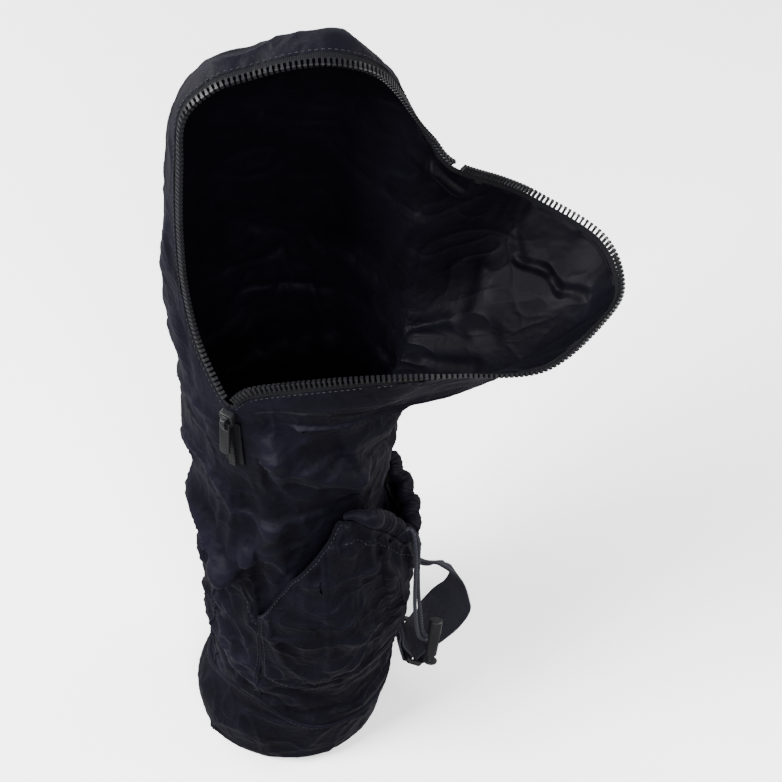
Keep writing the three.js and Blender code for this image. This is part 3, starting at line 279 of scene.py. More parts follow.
flap_columns = [column_of(row, FLAP_REACH, FLAP_SPREAD) for row in flap_rim]
mouth_columns = [column_of(row, TUBE_RADIUS, TUBE_RADIUS) for row in mouth_rim]
columns = [mouth_columns[-1], *flap_columns, *mouth_columns[:-1]]
CORNER = len(flap_columns) + 1
FULL_ROUND = len(columns)
HOOD_RIGHT = CORNER + 2.6
HOOD_LEFT = CORNER + 8.4
HOOD_SEAM = 0.6
foots, leaves, arrives, rims = (np.array([c[k] for c in columns]) for k in (1, 2, 3, 4))
starts = [c[0] - (360 if k == 0 else 0) for k, c in enumerate(columns)]
turned_starts = np.array([starts[k % FULL_ROUND] + 360 * (k // FULL_ROUND)
                          for k in range(-3, FULL_ROUND + 5)], float)


def column_angle(place):
    return catmull(turned_starts, np.asarray(place, float) + 3)


def mouth(place, t):
    place, t = np.broadcast_arrays(np.asarray(place, float), np.asarray(t, float))
    foot = side(column_angle(place), FORK_HEIGHT)
    leave = catmull(leaves, place, True) + foot - catmull(foots, place, True)
    arrive = catmull(arrives, place, True)
    rim = catmull(rims, place, True)
    t = t[..., None]
    s = 1 - t
    return foot * s ** 3 + leave * 3 * s * s * t + arrive * 3 * s * t * t + rim * t ** 3


def share_before_rim(place, length):
    place = np.atleast_1d(np.asarray(place, float))
    t = np.linspace(1, 0, 300)
    line = mouth(place[:, None], t[None, :])
    run = np.cumsum(np.linalg.norm(np.diff(line, axis=1), axis=-1), axis=1)
    return np.array([np.interp(length, np.concatenate([[0], r]), t) for r in run])


def seam_height(angle):
    away = ((np.asarray(angle) + 128 + 540) % 360 - 180) / 34
    return BASE_HEIGHT * (1 + 0.62 * np.exp(-away * away))


# One surface for the whole cloth: level runs 0 to 1 from the base's seam to the fork, and on to 2 at
# the rim of the opening

def whole_cloth(place, level):
    place, level = np.broadcast_arrays(np.asarray(place, float), np.asarray(level, float))
    angle = column_angle(place)
    foot = seam_height(angle)
    low = side(angle, foot + (FORK_HEIGHT - foot) * np.minimum(level, 1))
    high = mouth(place, np.maximum(level - 1, 0))
    return np.where(level[..., None] <= 1, low, high)


# Finer folds of the slack cloth that the photograph shows, on the tube by angle and height in metres:
# each is a ridge with a steeper lower side

tube_creases = [
    # from angle, from height, to angle, to height, high, wide above, wide below
    (-118, 0.388, -96, 0.383, 0.0024, 0.009, 0.004),
    (-98, 0.383, -53, 0.341, 0.0034, 0.011, 0.005),
    (-88, 0.351, -68, 0.336, -0.0026, 0.007, 0.004),
    (-168, 0.293, -140, 0.258, 0.0038, 0.012, 0.004),
    (-141, 0.258, -127, 0.244, 0.0036, 0.010, 0.004),
    (-127, 0.244, -115, 0.268, 0.0034, 0.009, 0.005),
    (-115, 0.268, -98, 0.307, 0.0030, 0.010, 0.005),
    (-150, 0.232, -128, 0.222, -0.0022, 0.008, 0.005),
    (-128, 0.222, -112, 0.236, -0.0018, 0.008, 0.005),
    (-176, 0.205, -140, 0.178, 0.0022, 0.009, 0.006),
    (-150, 0.150, -118, 0.128, 0.0020, 0.010, 0.006),
    (-172, 0.128, -132, 0.104, -0.0020, 0.010, 0.006),
    (-26, 0.372, 14, 0.366, 0.0024, 0.011, 0.006),
    (-40, 0.352, -8, 0.330, -0.0026, 0.010, 0.006),
    (-6, 0.322, 30, 0.312, 0.0022, 0.010, 0.006),
    (-70, 0.108, -34, 0.096, 0.0018, 0.008, 0.006),
    (-104, 0.112, -76, 0.086, -0.0018, 0.009, 0.006),
    (10, 0.176, 44, 0.158, 0.0020, 0.010, 0.007),
    (64, 0.352, 130, 0.326, 0.0026, 0.013, 0.007),
    (92, 0.300, 168, 0.262, -0.0028, 0.012, 0.008),
    (60, 0.236, 120, 0.214, 0.0024, 0.012, 0.007),
    (104, 0.176, 170, 0.146, 0.0024, 0.012, 0.007),
    (150, 0.372, 196, 0.340, 0.0024, 0.012, 0.007),
    (166, 0.236, 204, 0.214, -0.0024, 0.012, 0.008),
]


def tube_crease(angle, height):
    out = 0
    for from_angle, from_height, to_angle, to_height, high, above, below in tube_creases:
        along_x = np.radians(to_angle - from_angle) * TUBE_RADIUS
        along_y = to_height - from_height
        x = np.radians((angle - from_angle + 540) % 360 - 180) * TUBE_RADIUS
        away, share = from_line(x, height - from_height, along_x, along_y)
        over = (height - from_height - along_y * share) > 0
        wide = np.where(over, above, below)
        out = out + high * np.exp(-(away / wide) ** 2)
    return out * (1 - zip_calm(angle, height))


# Creases of the opened mouth, by place and level on the whole cloth

mouth_creases = [
    # from place, from level, to place, to level, high, wide
    (9.06, 1.810, 8.75, 1.730, -0.0020, 0.0035),
    (8.75, 1.730, 8.38, 1.765, -0.0024, 0.0035),
    (8.38, 1.765, 7.97, 1.745, -0.0024, 0.0035),
    (7.97, 1.745, 7.47, 1.825, -0.0022, 0.0040),
    (9.30, 1.600, 8.60, 1.350, 0.0030, 0.009),
    (8.10, 1.120, 7.60, 1.300, -0.0030, 0.008),
    (9.60, 1.020, 8.30, 1.420, -0.0032, 0.010),
    (10.2, 1.000, 9.10, 1.300, 0.0030, 0.009),
    (11.6, 1.870, 10.8, 1.850, -0.0035, 0.006),
    (12.4, 1.650, 11.6, 1.860, -0.0030, 0.006),
    (12.5, 1.050, 11.6, 1.500, -0.0030, 0.010),
    (2.00, 1.130, 4.80, 1.235, 0.0030, 0.006),
    (1.20, 1.500, 3.60, 1.420, -0.0024, 0.006),
    (3.40, 1.300, 6.20, 1.420, -0.0030, 0.008),
    (21.6, 1.000, 21.2, 1.800, 0.0030, 0.010),
    (23.2, 1.000, 22.6, 1.700, -0.0026, 0.009),
    (16.0, 1.780, 20.0, 1.700, 0.0022, 0.012),
]
PLACE_WIDE = 0.030
LEVEL_LONG = 0.240


def mouth_crease(place, level):
    out = 0
    for from_place, from_level, to_place, to_level, high, wide in mouth_creases:
        away, _ = from_line((place - from_place) * PLACE_WIDE, (level - from_level) * LEVEL_LONG,
                            (to_place - from_place) * PLACE_WIDE, (to_level - from_level) * LEVEL_LONG)
        out = out + high * np.exp(-(away / wide) ** 2)
    return out


# Meshes from grids and lines

def grid_faces(count, rows, closed, first=0, turned=False):
    spans = count if closed else count - 1
    i = np.arange(spans)[:, None]
    j = np.arange(rows - 1)[None, :]
    a = first + i * rows + j
    b = first + ((i + 1) % count) * rows + j
    quads = np.stack([a, b, b + 1, a + 1], axis=-1).reshape(-1, 4)
    return quads[:, ::-1] if turned else quads


def new_piece(name, points, faces, uv=None, values=None, finishes=(), finish_of=None):
    mesh = bpy.data.meshes.new(name)
    faces = [tuple(int(k) for k in f) for f in faces]
    mesh.from_pydata(np.asarray(points, float).tolist(), [], faces)
    if uv is not None:
        layer = mesh.uv_layers.new(name="UVMap")
        corners = np.empty(len(mesh.loops), int)
        mesh.loops.foreach_get("vertex_index", corners)
        layer.data.foreach_set("uv", np.asarray(uv, float)[corners].reshape(-1))
    for key, numbers in (values or {}).items():
        layer = mesh.attributes.new(key, "FLOAT", "POINT")
        layer.data.foreach_set("value", np.asarray(numbers, float).reshape(-1))
    for finish in finishes:
        mesh.materials.append(finish)
    if finish_of is not None:
        mesh.polygons.foreach_set("material_index", np.asarray(finish_of, int))
    mesh.update()
    piece = bpy.data.objects.new(name, mesh)
    bpy.context.scene.collection.objects.link(piece)
    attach(piece, "bag")
    return piece


def select_only(piece):
    bpy.ops.object.select_all(action="DESELECT")
    piece.select_set(True)
    bpy.context.view_layer.objects.active = piece


def smooth_by_angle(piece, degrees):
    select_only(piece)
    bpy.ops.object.shade_smooth_by_angle(angle=math.radians(degrees))


def apply_modifiers(piece):
    select_only(piece)
    for modifier in list(piece.modifiers):
        bpy.ops.object.modifier_apply(modifier=modifier.name)


def face_outward(piece):
    bm = bmesh.new()
    bm.from_mesh(piece.data)
    bmesh.ops.recalc_face_normals(bm, faces=bm.faces)
    bm.to_mesh(piece.data)
    bm.free()


def cloth_wall(name, node, outer, normals, finishes, closed=False, thickness=CLOTH, values=None):
    count, rows = outer.shape[:2]
    inner = outer - normals * thickness
    total = count * rows
    points = np.concatenate([outer.reshape(-1, 3), inner.reshape(-1, 3)])
    first = grid_faces(count, rows, closed)
    second = grid_faces(count, rows, closed, total, True)
    spans = count if closed else count - 1
    edge = []
    for i in range(spans):
        a, b = i * rows, ((i + 1) % count) * rows
        edge.append((a, a + total, b + total, b))
        a, b = a + rows - 1, b + rows - 1
        edge.append((a, b, b + total, a + total))
    if not closed:
        last = (count - 1) * rows
        for j in range(rows - 1):
            edge.append((j, j + 1, j + 1 + total, j + total))
            edge.append((last + j, last + j + total, last + j + 1 + total, last + j + 1))
    faces = np.concatenate([first, second, np.array(edge)])
    finish_of = np.concatenate([np.zeros(len(first)), np.ones(len(second)), np.zeros(len(edge))])
    across = np.linalg.norm(np.diff(outer, axis=0), axis=-1).mean(axis=1)
    along = np.linalg.norm(np.diff(outer, axis=1), axis=-1).mean(axis=0)
    u = np.concatenate([[0], np.cumsum(across)])
    v = np.concatenate([[0], np.cumsum(along)])
    uv = np.stack(np.meshgrid(u, v, indexing="ij"), axis=-1).reshape(-1, 2)
    values = {key: np.concatenate([v.reshape(-1), v.reshape(-1)]) for key, v in (values or {}).items()}
    piece = new_piece(name, points, faces, np.concatenate([uv, uv]), values, finishes,
                      finish_of if len(finishes) > 1 else None)
    piece.data.shade_smooth()
    flat = normals.reshape(-1, 3)
    piece.data.normals_split_custom_set_from_vertices(np.concatenate([flat, -flat]).tolist())
    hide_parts(node)
    return piece


def sweep(name, centres, firsts, seconds, outline, finish, node=None, angle=50,
          values=None, across=None, round_end=False):
    count = len(centres)
    outline = np.asarray(outline, float)
    if outline.ndim == 2:
        outline = np.broadcast_to(outline, (count, *outline.shape))
    sides = outline.shape[1]
    points = (centres[:, None, :] + firsts[:, None, :] * outline[..., :1]
              + seconds[:, None, :] * outline[..., 1:]).reshape(-1, 3)
    spans = count if round_end else count - 1
    i = np.arange(spans)[:, None]
    k = np.arange(sides)[None, :]
    a = i * sides + k
    b = i * sides + (k + 1) % sides
    c = ((i + 1) % count) * sides
    faces = list(np.stack([a, b, c + (k + 1) % sides, c + k], axis=-1).reshape(-1, 4))
    if not round_end:
        faces.append(np.arange(sides)[::-1])
        faces.append(np.arange(sides) + (count - 1) * sides)
    run = run_along(centres)
    around = np.arange(sides) / sides if across is None else across
    uv = np.stack(np.meshgrid(run, around, indexing="ij"), axis=-1).reshape(-1, 2)
    values = {key: np.repeat(value, sides) for key, value in (values or {}).items()}
    piece = new_piece(name, points, faces, uv, values, [finish])
    face_outward(piece)
    smooth_by_angle(piece, angle)
    if node:
        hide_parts(node)
    return piece


def carried_frames(line):
    along = unit(np.gradient(line, axis=0))
    first = unit(np.cross(along[0], (0, 0, 1)))
    firsts = []
    for direction in along:
        first = unit(first - direction * (first @ direction))
        firsts.append(first)
    firsts = np.array(firsts)
    return firsts, np.cross(along, firsts)


def smooth_line(points, place):
    points = np.asarray(points, float)
    ends = np.concatenate([[2 * points[0] - points[1]], points, [2 * points[-1] - points[-2]]])
    gaps = np.sqrt(np.linalg.norm(np.diff(ends, axis=0), axis=1))
    place = np.clip(np.asarray(place, float), 0, len(points) - 1)
    i = np.clip(np.floor(place).astype(int), 0, len(points) - 2)
    t = (place - i)[:, None]
    p0, p1, p2, p3 = (ends[i + k] for k in range(4))
    d0, d1, d2 = (gaps[i + k][:, None] for k in range(3))
    m1 = ((p1 - p0) / d0 - (p2 - p0) / (d0 + d1) + (p2 - p1) / d1) * d1
    m2 = ((p2 - p1) / d1 - (p3 - p1) / (d1 + d2) + (p3 - p2) / d2) * d1
    return p1 + m1 * t + (3 * (p2 - p1) - 2 * m1 - m2) * t ** 2 + (2 * (p1 - p2) + m1 + m2) * t ** 3


def even_line(points, step):
    fine = smooth_line(points, np.linspace(0, len(points) - 1, 40 * len(points)))
    run = run_along(fine)
    at = np.linspace(0, run[-1], int(round(run[-1] / step)) + 1)
    return points_at(at, run, fine), run[-1]


def hard_copy(node, name, bevel, body="bag"):
    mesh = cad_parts[node].data.copy()
    mesh.materials.clear()
    mesh.materials.append(black_moulded)
    piece = bpy.data.objects.new(name, mesh)
    bpy.context.scene.collection.objects.link(piece)
    bm = bmesh.new()
    bm.from_mesh(mesh)
    bmesh.ops.remove_doubles(bm, verts=bm.verts, dist=2e-6)
    bmesh.ops.dissolve_limit(bm, angle_limit=math.radians(2), verts=bm.verts, edges=bm.edges)
    bm.to_mesh(mesh)
    bm.free()
    modifier = piece.modifiers.new("rounding", "BEVEL")
    modifier.width = bevel
    modifier.segments = 3
    modifier.limit_method = "ANGLE"
    modifier.angle_limit = math.radians(28)
    apply_modifiers(piece)
    smooth_by_angle(piece, 40)
    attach(piece, body)
    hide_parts(node)
    return piece


# Finishes

class Wire:
    """A socket or number in one finish's shader, so that its maths reads as an expression."""

    def __init__(self, finish, source):
        self.finish = finish
        self.source = source

    def maths(self, operation, *others, swapped=False):
        values = [*others, self] if swapped else [self, *others]
        return self.finish.node("ShaderNodeMath", {"operation": operation}, dict(enumerate(values)))

    def __add__(self, other):
        return self.maths("ADD", other)

    def __radd__(self, other):
        return self.maths("ADD", other, swapped=True)

    def __sub__(self, other):
        return self.maths("SUBTRACT", other)

    def __rsub__(self, other):
        return self.maths("SUBTRACT", other, swapped=True)

    def __mul__(self, other):
        return self.maths("MULTIPLY", other)

    def __rmul__(self, other):
        return self.maths("MULTIPLY", other, swapped=True)


class Finish:
    """One material, whose nodes are all made by node()."""

    def __init__(self, name):
        self.material = bpy.data.materials.new(name)
        self.material.use_nodes = True
        self.tree = self.material.node_tree
        self.tree.nodes.clear()

    def node(self, kind, settings=None, inputs=None, output=0):
        made = self.tree.nodes.new(kind)
        for key, value in (settings or {}).items():
            if key == "stops":
                ramp = made.color_ramp
                while len(ramp.elements) > 1:
                    ramp.elements.remove(ramp.elements[-1])
                for k, (position, colour) in enumerate(value):
                    element = ramp.elements[0] if k == 0 else ramp.elements.new(position)
                    element.position = position
                    element.color = (*colour, 1)
            else:
                setattr(made, key, value)
        for key, value in (inputs or {}).items():
            if isinstance(value, Wire):
                self.tree.links.new(value.source, made.inputs[key])
            else:
                made.inputs[key].default_value = value
        return Wire(self, made.outputs[output])

    def places(self):
        return self.node("ShaderNodeTexCoord", output="Object")

    def cloth_place(self):
        return self.node("ShaderNodeUVMap", {"uv_map": "UVMap"})

    def value(self, name):
        return self.node("ShaderNodeAttribute", {"attribute_name": name}, output="Fac")

    def noise(self, place, scale, detail=2.0, rough=0.5, kind="FBM"):
        return self.node("ShaderNodeTexNoise", {"noise_type": kind},
                         {"Vector": place, "Scale": scale, "Detail": detail, "Roughness": rough})

    def wave(self, place, scale, along):
        return self.node("ShaderNodeTexWave", {"bands_direction": along},
                         {"Vector": place, "Scale": scale, "Distortion": 0}, output="Fac")

    def ramp(self, value, stops):
        return self.node("ShaderNodeValToRGB", {"stops": stops}, {"Fac": value})

    def mix(self, share, first, second):
        return self.node("ShaderNodeMix", {"data_type": "RGBA"}, {0: share, 6: first, 7: second}, output=2)

    def done(self, colour, rough, height=None, distance=None, **constants):
        inputs = {"Base Color": colour, "Roughness": rough}
        if height is not None:
            inputs["Normal"] = self.node("ShaderNodeBump", inputs={
                "Height": height, "Distance": distance, "Strength": 1})
        for key, value in constants.items():
            inputs[key.replace("_", " ")] = value
        surface = self.node("ShaderNodeBsdfPrincipled", inputs=inputs)
        output = self.tree.nodes.new("ShaderNodeOutputMaterial")
        self.tree.links.new(surface.source, output.inputs["Surface"])
        return self.material


def nylon(name, dark, light, rough, sheen, crinkle, weave=1.0):
    f = Finish(name)
    place = f.places()
    thread = f.cloth_place()
    weft = f.wave(thread, 360, "X")
    warp = f.wave(thread, 360, "Y")
    crumple = f.noise(place, 150, 3, 0.55, "RIDGED_MULTIFRACTAL")
    soft = f.noise(place, 55, 3, 0.6)
    cloud = f.noise(place, 14, 3, 0.5)
    fine = f.noise(place, 900, 2, 0.5)
    crest_highlight = f.value("crest_highlight")
    height = (crumple * (0.55 * crinkle) + soft * (1.1 * crinkle) + (weft + warp) * (0.02 * weave)
              + fine * 0.05)
    # The crest mask lightens the colour along fold crests as painted highlight; the cloud and soft noises give
    # random tone.
    tone = f.ramp(cloud * 0.55 + soft * 0.3 + crest_highlight * 0.22,
                  [(0.25, dark), (0.75, light), (1.0, tuple(c * 1.25 for c in light))])
    return f.done(tone, rough + soft * 0.16 - crest_highlight * 0.05, height, 0.0016,
                  Sheen_Weight=sheen[0], Sheen_Roughness=sheen[1], Sheen_Tint=(*sheen[2], 1),
                  Specular_IOR_Level=sheen[3])


navy_nylon = nylon("navy_nylon", (0.0006, 0.0005, 0.0011), (0.0040, 0.0035, 0.0074), 0.48,
                   (0.010, 0.40, (0.62, 0.58, 0.90), 0.045), 0.8)
# The inner face is the same nylon in darker colour: painted shade for the inside of the bag, and a little
# smoother.
shaded_inner_nylon = nylon("shaded_inner_nylon", (0.0008, 0.0007, 0.0013), (0.0026, 0.0023, 0.0042), 0.44,
                    (0.006, 0.40, (0.62, 0.58, 0.88), 0.035), 0.4, 0.6)


def tape_finish():
    f = Finish("zip_tape_weave")
    thread = f.cloth_place()
    rib = f.wave(thread, 260, "X")
    row = f.wave(thread, 420, "Y")
    speck = f.noise(f.places(), 700, 2)
    tone = f.mix(speck, (0.0018, 0.0018, 0.0024, 1), (0.0042, 0.0042, 0.0054, 1))
    return f.done(tone, 0.72 + speck * 0.14, rib * 0.5 + row * 0.3 + speck * 0.2, 0.0004,
                  Sheen_Weight=0.01, Sheen_Roughness=0.5, Specular_IOR_Level=0.06)


def moulded_finish(name, low, high, rough):
    f = Finish(name)
    place = f.places()
    speck = f.noise(place, 900, 3)
    cloud = f.noise(place, 60, 2)
    tone = f.mix(cloud, (*low, 1), (*high, 1))
    return f.done(tone, rough + cloud * 0.12, speck, 0.00006, Specular_IOR_Level=0.16)


def cord_finish():
    f = Finish("drawcord_braid")
    thread = f.cloth_place()
    one, two = (f.wave(f.node("ShaderNodeMapping", inputs={"Vector": thread, "Scale": (1, lean, 1)}), 190,
                       "DIAGONAL") for lean in (0.0045, -0.0045))
    strand = one.maths("MAXIMUM", two)
    tone = f.mix(strand, (0.0030, 0.0030, 0.0055, 1), (0.0130, 0.0125, 0.0210, 1))
    return f.done(tone, 0.66, strand, 0.0004, Sheen_Weight=0.04, Sheen_Roughness=0.4,
                  Specular_IOR_Level=0.2)


def webbing_finish():
    f = Finish("strap_webbing_weave")
    thread = f.cloth_place()
    pick = f.wave(thread, 330, "X")
    rib = f.wave(thread, 175, "Y")
    speck = f.noise(f.places(), 800, 2)
    cloud = f.noise(f.places(), 30, 2)
    weave = pick * 0.5 + rib * 0.6
    tone = f.ramp(weave * 0.5 + speck * 0.3 + cloud * 0.25,
                  [(0.2, (0.0026, 0.0024, 0.0048)), (0.9, (0.0110, 0.0100, 0.0180))])
    return f.done(tone, 0.62 + speck * 0.15, weave + speck * 0.3, 0.0007,
                  Sheen_Weight=0.05, Sheen_Roughness=0.4, Sheen_Tint=(0.7, 0.66, 0.95, 1),
                  Specular_IOR_Level=0.2)


def thread_finish():
    f = Finish("stitching_thread")
    speck = f.noise(f.places(), 1400, 2)
    tone = f.mix(speck, (0.0020, 0.0018, 0.0034, 1), (0.0070, 0.0064, 0.0110, 1))
    return f.done(tone, 0.55 + speck * 0.1, speck, 0.0001, Sheen_Weight=0.02, Specular_IOR_Level=0.2)


zip_weave = tape_finish()
sewing_thread = thread_finish()
black_moulded = moulded_finish("black_moulded", (0.0035, 0.0035, 0.0042), (0.0080, 0.0080, 0.0095), 0.34)
tooth_moulded = moulded_finish("tooth_moulded", (0.0030, 0.0030, 0.0036), (0.0070, 0.0070, 0.0084), 0.32)
braid = cord_finish()
webbing_weave = webbing_finish()

# Drawcords of the side pocket, on the route of their solids

drawcord_route_a = np.array([
    (86.5, -30.7, 254.6), (89.6, -30.9, 255.2), (91.8, -32.6, 252.6), (93.0, -35.4, 246.2),
    (93.6, -38.0, 237.0), (93.8, -40.0, 226.0), (93.6, -41.5, 214.0), (93.4, -42.6, 202.0),
    (93.4, -43.2, 190.0), (93.6, -43.6, 178.0), (94.2, -43.8, 167.0), (95.0, -43.8, 157.0),
    (96.0, -43.6, 148.0), (97.6, -42.9, 141.2), (100.2, -42.2, 137.9), (103.4, -42.3, 137.2),
    (106.8, -42.4, 136.8),
]) / 1000
drawcord_route_b = np.array([
    (91.2, -27.7, 245.2), (93.8, -28.4, 245.8), (95.4, -30.6, 243.6), (96.0, -33.4, 238.0),
    (95.8, -35.6, 230.0), (95.6, -37.0, 220.0), (95.6, -37.9, 209.0), (95.8, -38.5, 198.0),
    (96.2, -39.0, 187.0), (96.8, -39.4, 177.0), (97.6, -39.9, 167.0), (98.3, -40.2, 157.5),
    (98.9, -40.5, 149.5), (100.2, -40.7, 143.4), (103.2, -40.9, 140.5), (107.2, -41.1, 139.9),
]) / 1000


def drawcord(name, node, route):
    line, length = even_line(route, 0.0006)
    firsts, seconds = carried_frames(line)
    turn = full_turn(12)
    run = np.linspace(0, length, len(line))[:, None]
    strands = np.cos(4 * turn + run * 900) * np.cos(4 * turn - run * 900)
    radius = CORD_DIAMETER / 2 * (0.97 + 0.05 * strands)
    outline = np.stack([radius * np.cos(turn), radius * np.sin(turn)], axis=-1)
    piece = sweep(name, line, firsts, seconds, outline, braid, node, 60)
    return piece, line[::6], length


cord_a, path_a, length_a = drawcord("drawcord_braid_a", "drawcord_a", drawcord_route_a)
cord_b, path_b, length_b = drawcord("drawcord_braid_b", "drawcord_b", drawcord_route_b)
lock_body = hard_copy("cord_lock_barrel", "cord_lock_body", 0.0005)
lock_press = hard_copy("cord_lock_button", "cord_lock_press", 0.0005, "lock_button")
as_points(path_a)
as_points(path_b)

# The whole cloth is draped once as a coarse net, and the drape is read back on every sewn piece

NET_COLUMNS = 200
NET_LOW = 60
NET_HIGH = 36
DRAPE_FRAMES = 26


def drape(points, slack, closed, pins, gravity, bend, cap):
    """The net's rest form is slack times as tall as its place allows, so it folds as it settles."""
    count, rows = points.shape[:2]
    mesh = bpy.data.meshes.new("net")
    start = points.reshape(-1, 3)
    mesh.from_pydata(start.tolist(), [], grid_faces(count, rows, closed).tolist())
    net = bpy.data.objects.new("net", mesh)
    bpy.context.scene.collection.objects.link(net)
    net.shape_key_add(name="placed")
    slack_key = net.shape_key_add(name="slack")
    slack_key.data.foreach_set("co", (points * (1, 1, slack)).reshape(-1))
    group = net.vertex_groups.new(name="pins")
    rounded = np.round(pins, 2).reshape(-1)
    for weight in np.unique(rounded):
        if weight > 0:
            group.add(np.nonzero(rounded == weight)[0].tolist(), float(weight), "REPLACE")
    modifier = net.modifiers.new("drape", "CLOTH")
    settings = modifier.settings
    settings.quality = 5
    settings.mass = 0.15
    settings.tension_stiffness = 25
    settings.compression_stiffness = 18
    settings.shear_stiffness = 8
    settings.bending_stiffness = bend
    settings.air_damping = 2
    settings.rest_shape_key = slack_key
    settings.vertex_group_mass = "pins"
    settings.pin_stiffness = 1
    settings.effector_weights.gravity = gravity
    modifier.collision_settings.use_collision = False
    modifier.collision_settings.use_self_collision = False
    modifier.point_cache.frame_start = 1
    modifier.point_cache.frame_end = DRAPE_FRAMES
    scene = bpy.context.scene
    for k in range(1, DRAPE_FRAMES + 1):
        scene.frame_set(k)
    shape = net.evaluated_get(bpy.context.evaluated_depsgraph_get()).to_mesh()
    moved = np.empty(len(shape.vertices) * 3)
    shape.vertices.foreach_get("co", moved)
    moved = moved.reshape(-1, 3) - start
    far = np.linalg.norm(moved, axis=1, keepdims=True)
    moved = moved * (cap * np.tanh(far / cap) / np.maximum(far, 1e-9))
    bpy.data.objects.remove(net)
    scene.frame_set(1)
    return moved.reshape(points.shape)


def field_at(field, place, level, levels, full, closed=True):
    count = field.shape[0]
    column = np.asarray(place) / full * (count if closed else count - 1)
    row = np.interp(level, levels, np.arange(len(levels)))
    i = np.clip(np.floor(row).astype(int), 0, len(levels) - 2)
    j = np.floor(column).astype(int)
    if not closed:
        j = np.clip(j, 0, count - 2)
    s, t = (column - j)[..., None], (row - i)[..., None]

    def at(m, k):
        near = (j + m) % count if closed else np.clip(j + m, 0, count - 1)
        return field[near, np.clip(i + k, 0, len(levels) - 1)]

    return blend_four([blend_four([at(m, k) for m in (-1, 0, 1, 2)], s) for k in (-1, 0, 1, 2)], t)


# Side pocket, its rows as for the tube: foot and top are shares of the fork height, open and bulge of
# the tube's radius

pocket_rows = np.array([
    # at, foot, top, open, bulge
    (-112, 0.320, 0.500, 0.055, 0.02),
    (-98, 0.300, 0.580, 0.055, 0.09),
    (-82, 0.290, 0.680, 0.055, 0.13),
    (-64, 0.290, 0.770, 0.075, 0.12),
    (-48, 0.300, 0.710, 0.120, 0.09),
    (-34, 0.300, 0.625, 0.140, 0.07),
    (-20, 0.300, 0.565, 0.140, 0.04),
    (0, 0.300, 0.565, 0.140, 0.01),
    (20, 0.300, 0.600, 0.130, 0.00),
    (38, 0.310, 0.635, 0.100, 0.01),
    (54, 0.320, 0.660, 0.055, 0.01),
])
POCKET_FROM = -112
POCKET_TO = 54
CHANNEL_FROM = -63
GATHERS = 11
pocket_folds = [
    # from angle, from v, to angle, to v, high, wide
    (-88, 0.86, -56, 0.28, 0.055, 0.11),
    (-100, 0.50, -66, 0.12, -0.035, 0.11),
    (-70, 0.80, -34, 0.34, -0.040, 0.12),
    (-40, 0.70, 4, 0.20, 0.040, 0.14),
]
pocket_ridges = [
    # from angle, from height, to angle, to height, high, wide above, wide below
    (-84, 0.280, -79, 0.253, 0.0020, 0.010, 0.0085),
    (-79, 0.253, -71, 0.217, 0.0020, 0.011, 0.0085),
    (-71, 0.217, -59, 0.183, 0.0032, 0.011, 0.0085),
    (-59, 0.183, -50, 0.178, 0.0036, 0.009, 0.0085),
    (-66, 0.285, -38, 0.228, 0.0036, 0.010, 0.0085),
    (-38, 0.232, -44, 0.182, 0.0034, 0.009, 0.0085),
    (-104, 0.200, -84, 0.160, -0.0034, 0.009, 0.0085),
    (-92, 0.176, -62, 0.146, 0.0036, 0.011, 0.0085),
    (-20, 0.215, 20, 0.190, 0.0030, 0.010, 0.0085),
]
RIDGE_SHARE = 0.7


def pocket_cover(angle, height):
    inside = smooth((angle + 116) / 8) * smooth((58 - angle) / 8)
    foot = np.interp(angle, pocket_rows[:, 0], pocket_rows[:, 1] * FORK_HEIGHT)
    top = np.interp(angle, pocket_rows[:, 0], pocket_rows[:, 2] * FORK_HEIGHT)
    return inside * smooth((height - foot + 0.010) / 0.010) * smooth((top + 0.010 - height) / 0.010)


def pocket_at(angle):
    place = np.interp(angle, pocket_rows[:, 0], np.arange(len(pocket_rows)))
    return np.moveaxis(catmull(pocket_rows, place), -1, 0)[1:]


def pocket_panel(angle, v):
    angle, v = np.broadcast_arrays(np.asarray(angle, float), np.asarray(v, float))
    foot, top, open_, bulge = pocket_at(angle)
    foot, top = foot * FORK_HEIGHT, top * FORK_HEIGHT
    height = foot + (top - foot) * v
    seat = WALL + 4 * GAP
    to_edge = smooth((angle - POCKET_FROM) / 8) * smooth((POCKET_TO - angle) / 8)
    slack = np.sin(np.pi * np.clip(v, 0, 1))
    out = open_ * smooth((v - 0.15) / 0.85) + bulge * slack ** 0.8
    for from_angle, from_v, to_angle, to_v, high, wide in pocket_folds:
        x = np.radians(angle - from_angle) * TUBE_RADIUS
        y = (v - from_v) * (top - foot)
        along_x = np.radians(to_angle - from_angle) * TUBE_RADIUS
        away, _ = from_line(x, y, along_x, (to_v - from_v) * (top - foot))
        out = out + high * np.exp(-(away / (wide * TUBE_RADIUS)) ** 2) * to_edge * slack
    wave = np.cos(GATHERS * 2 * np.pi * (angle - CHANNEL_FROM) / (POCKET_TO - CHANNEL_FROM))
    drawn = smooth((v - 0.45) / 0.5) * to_edge * smooth((angle - CHANNEL_FROM + 14) / 10)
    gathered = 0.0016 * wave * drawn
    normal = normal_of(side, angle, height, 0.5, 0.0005)
    return side(angle, height) + normal * (seat + out * TUBE_RADIUS * to_edge + gathered * 0.5)[..., None]


net_levels = np.concatenate([np.linspace(0, 1, NET_LOW), np.linspace(1, 2, NET_HIGH + 1)[1:]])


def whole_drape():
    """How far each point settles: held at the base, the zip and the rim, and partly above the fork."""
    places = np.arange(NET_COLUMNS) * FULL_ROUND / NET_COLUMNS
    net = whole_cloth(places[:, None], net_levels[None, :])
    from_edge = np.minimum(net_levels / 0.03, (2 - net_levels) / 0.16)
    pins = np.broadcast_to(1 - 0.98 * smooth(from_edge)[None, :], net.shape[:2])
    pins = np.maximum(pins, 0.55 * smooth((net_levels - 1) / 0.15)[None, :])
    calm = zip_calm(column_angle(places)[:, None], net[..., 2])
    return drape(net, 1.05, True, np.maximum(pins, calm * 0.9), 0.4, 1.2, 0.0055)


draped = whole_drape()


def whole_surface(place, level):
    return whole_cloth(place, level) + field_at(draped, place, level, net_levels, FULL_ROUND)


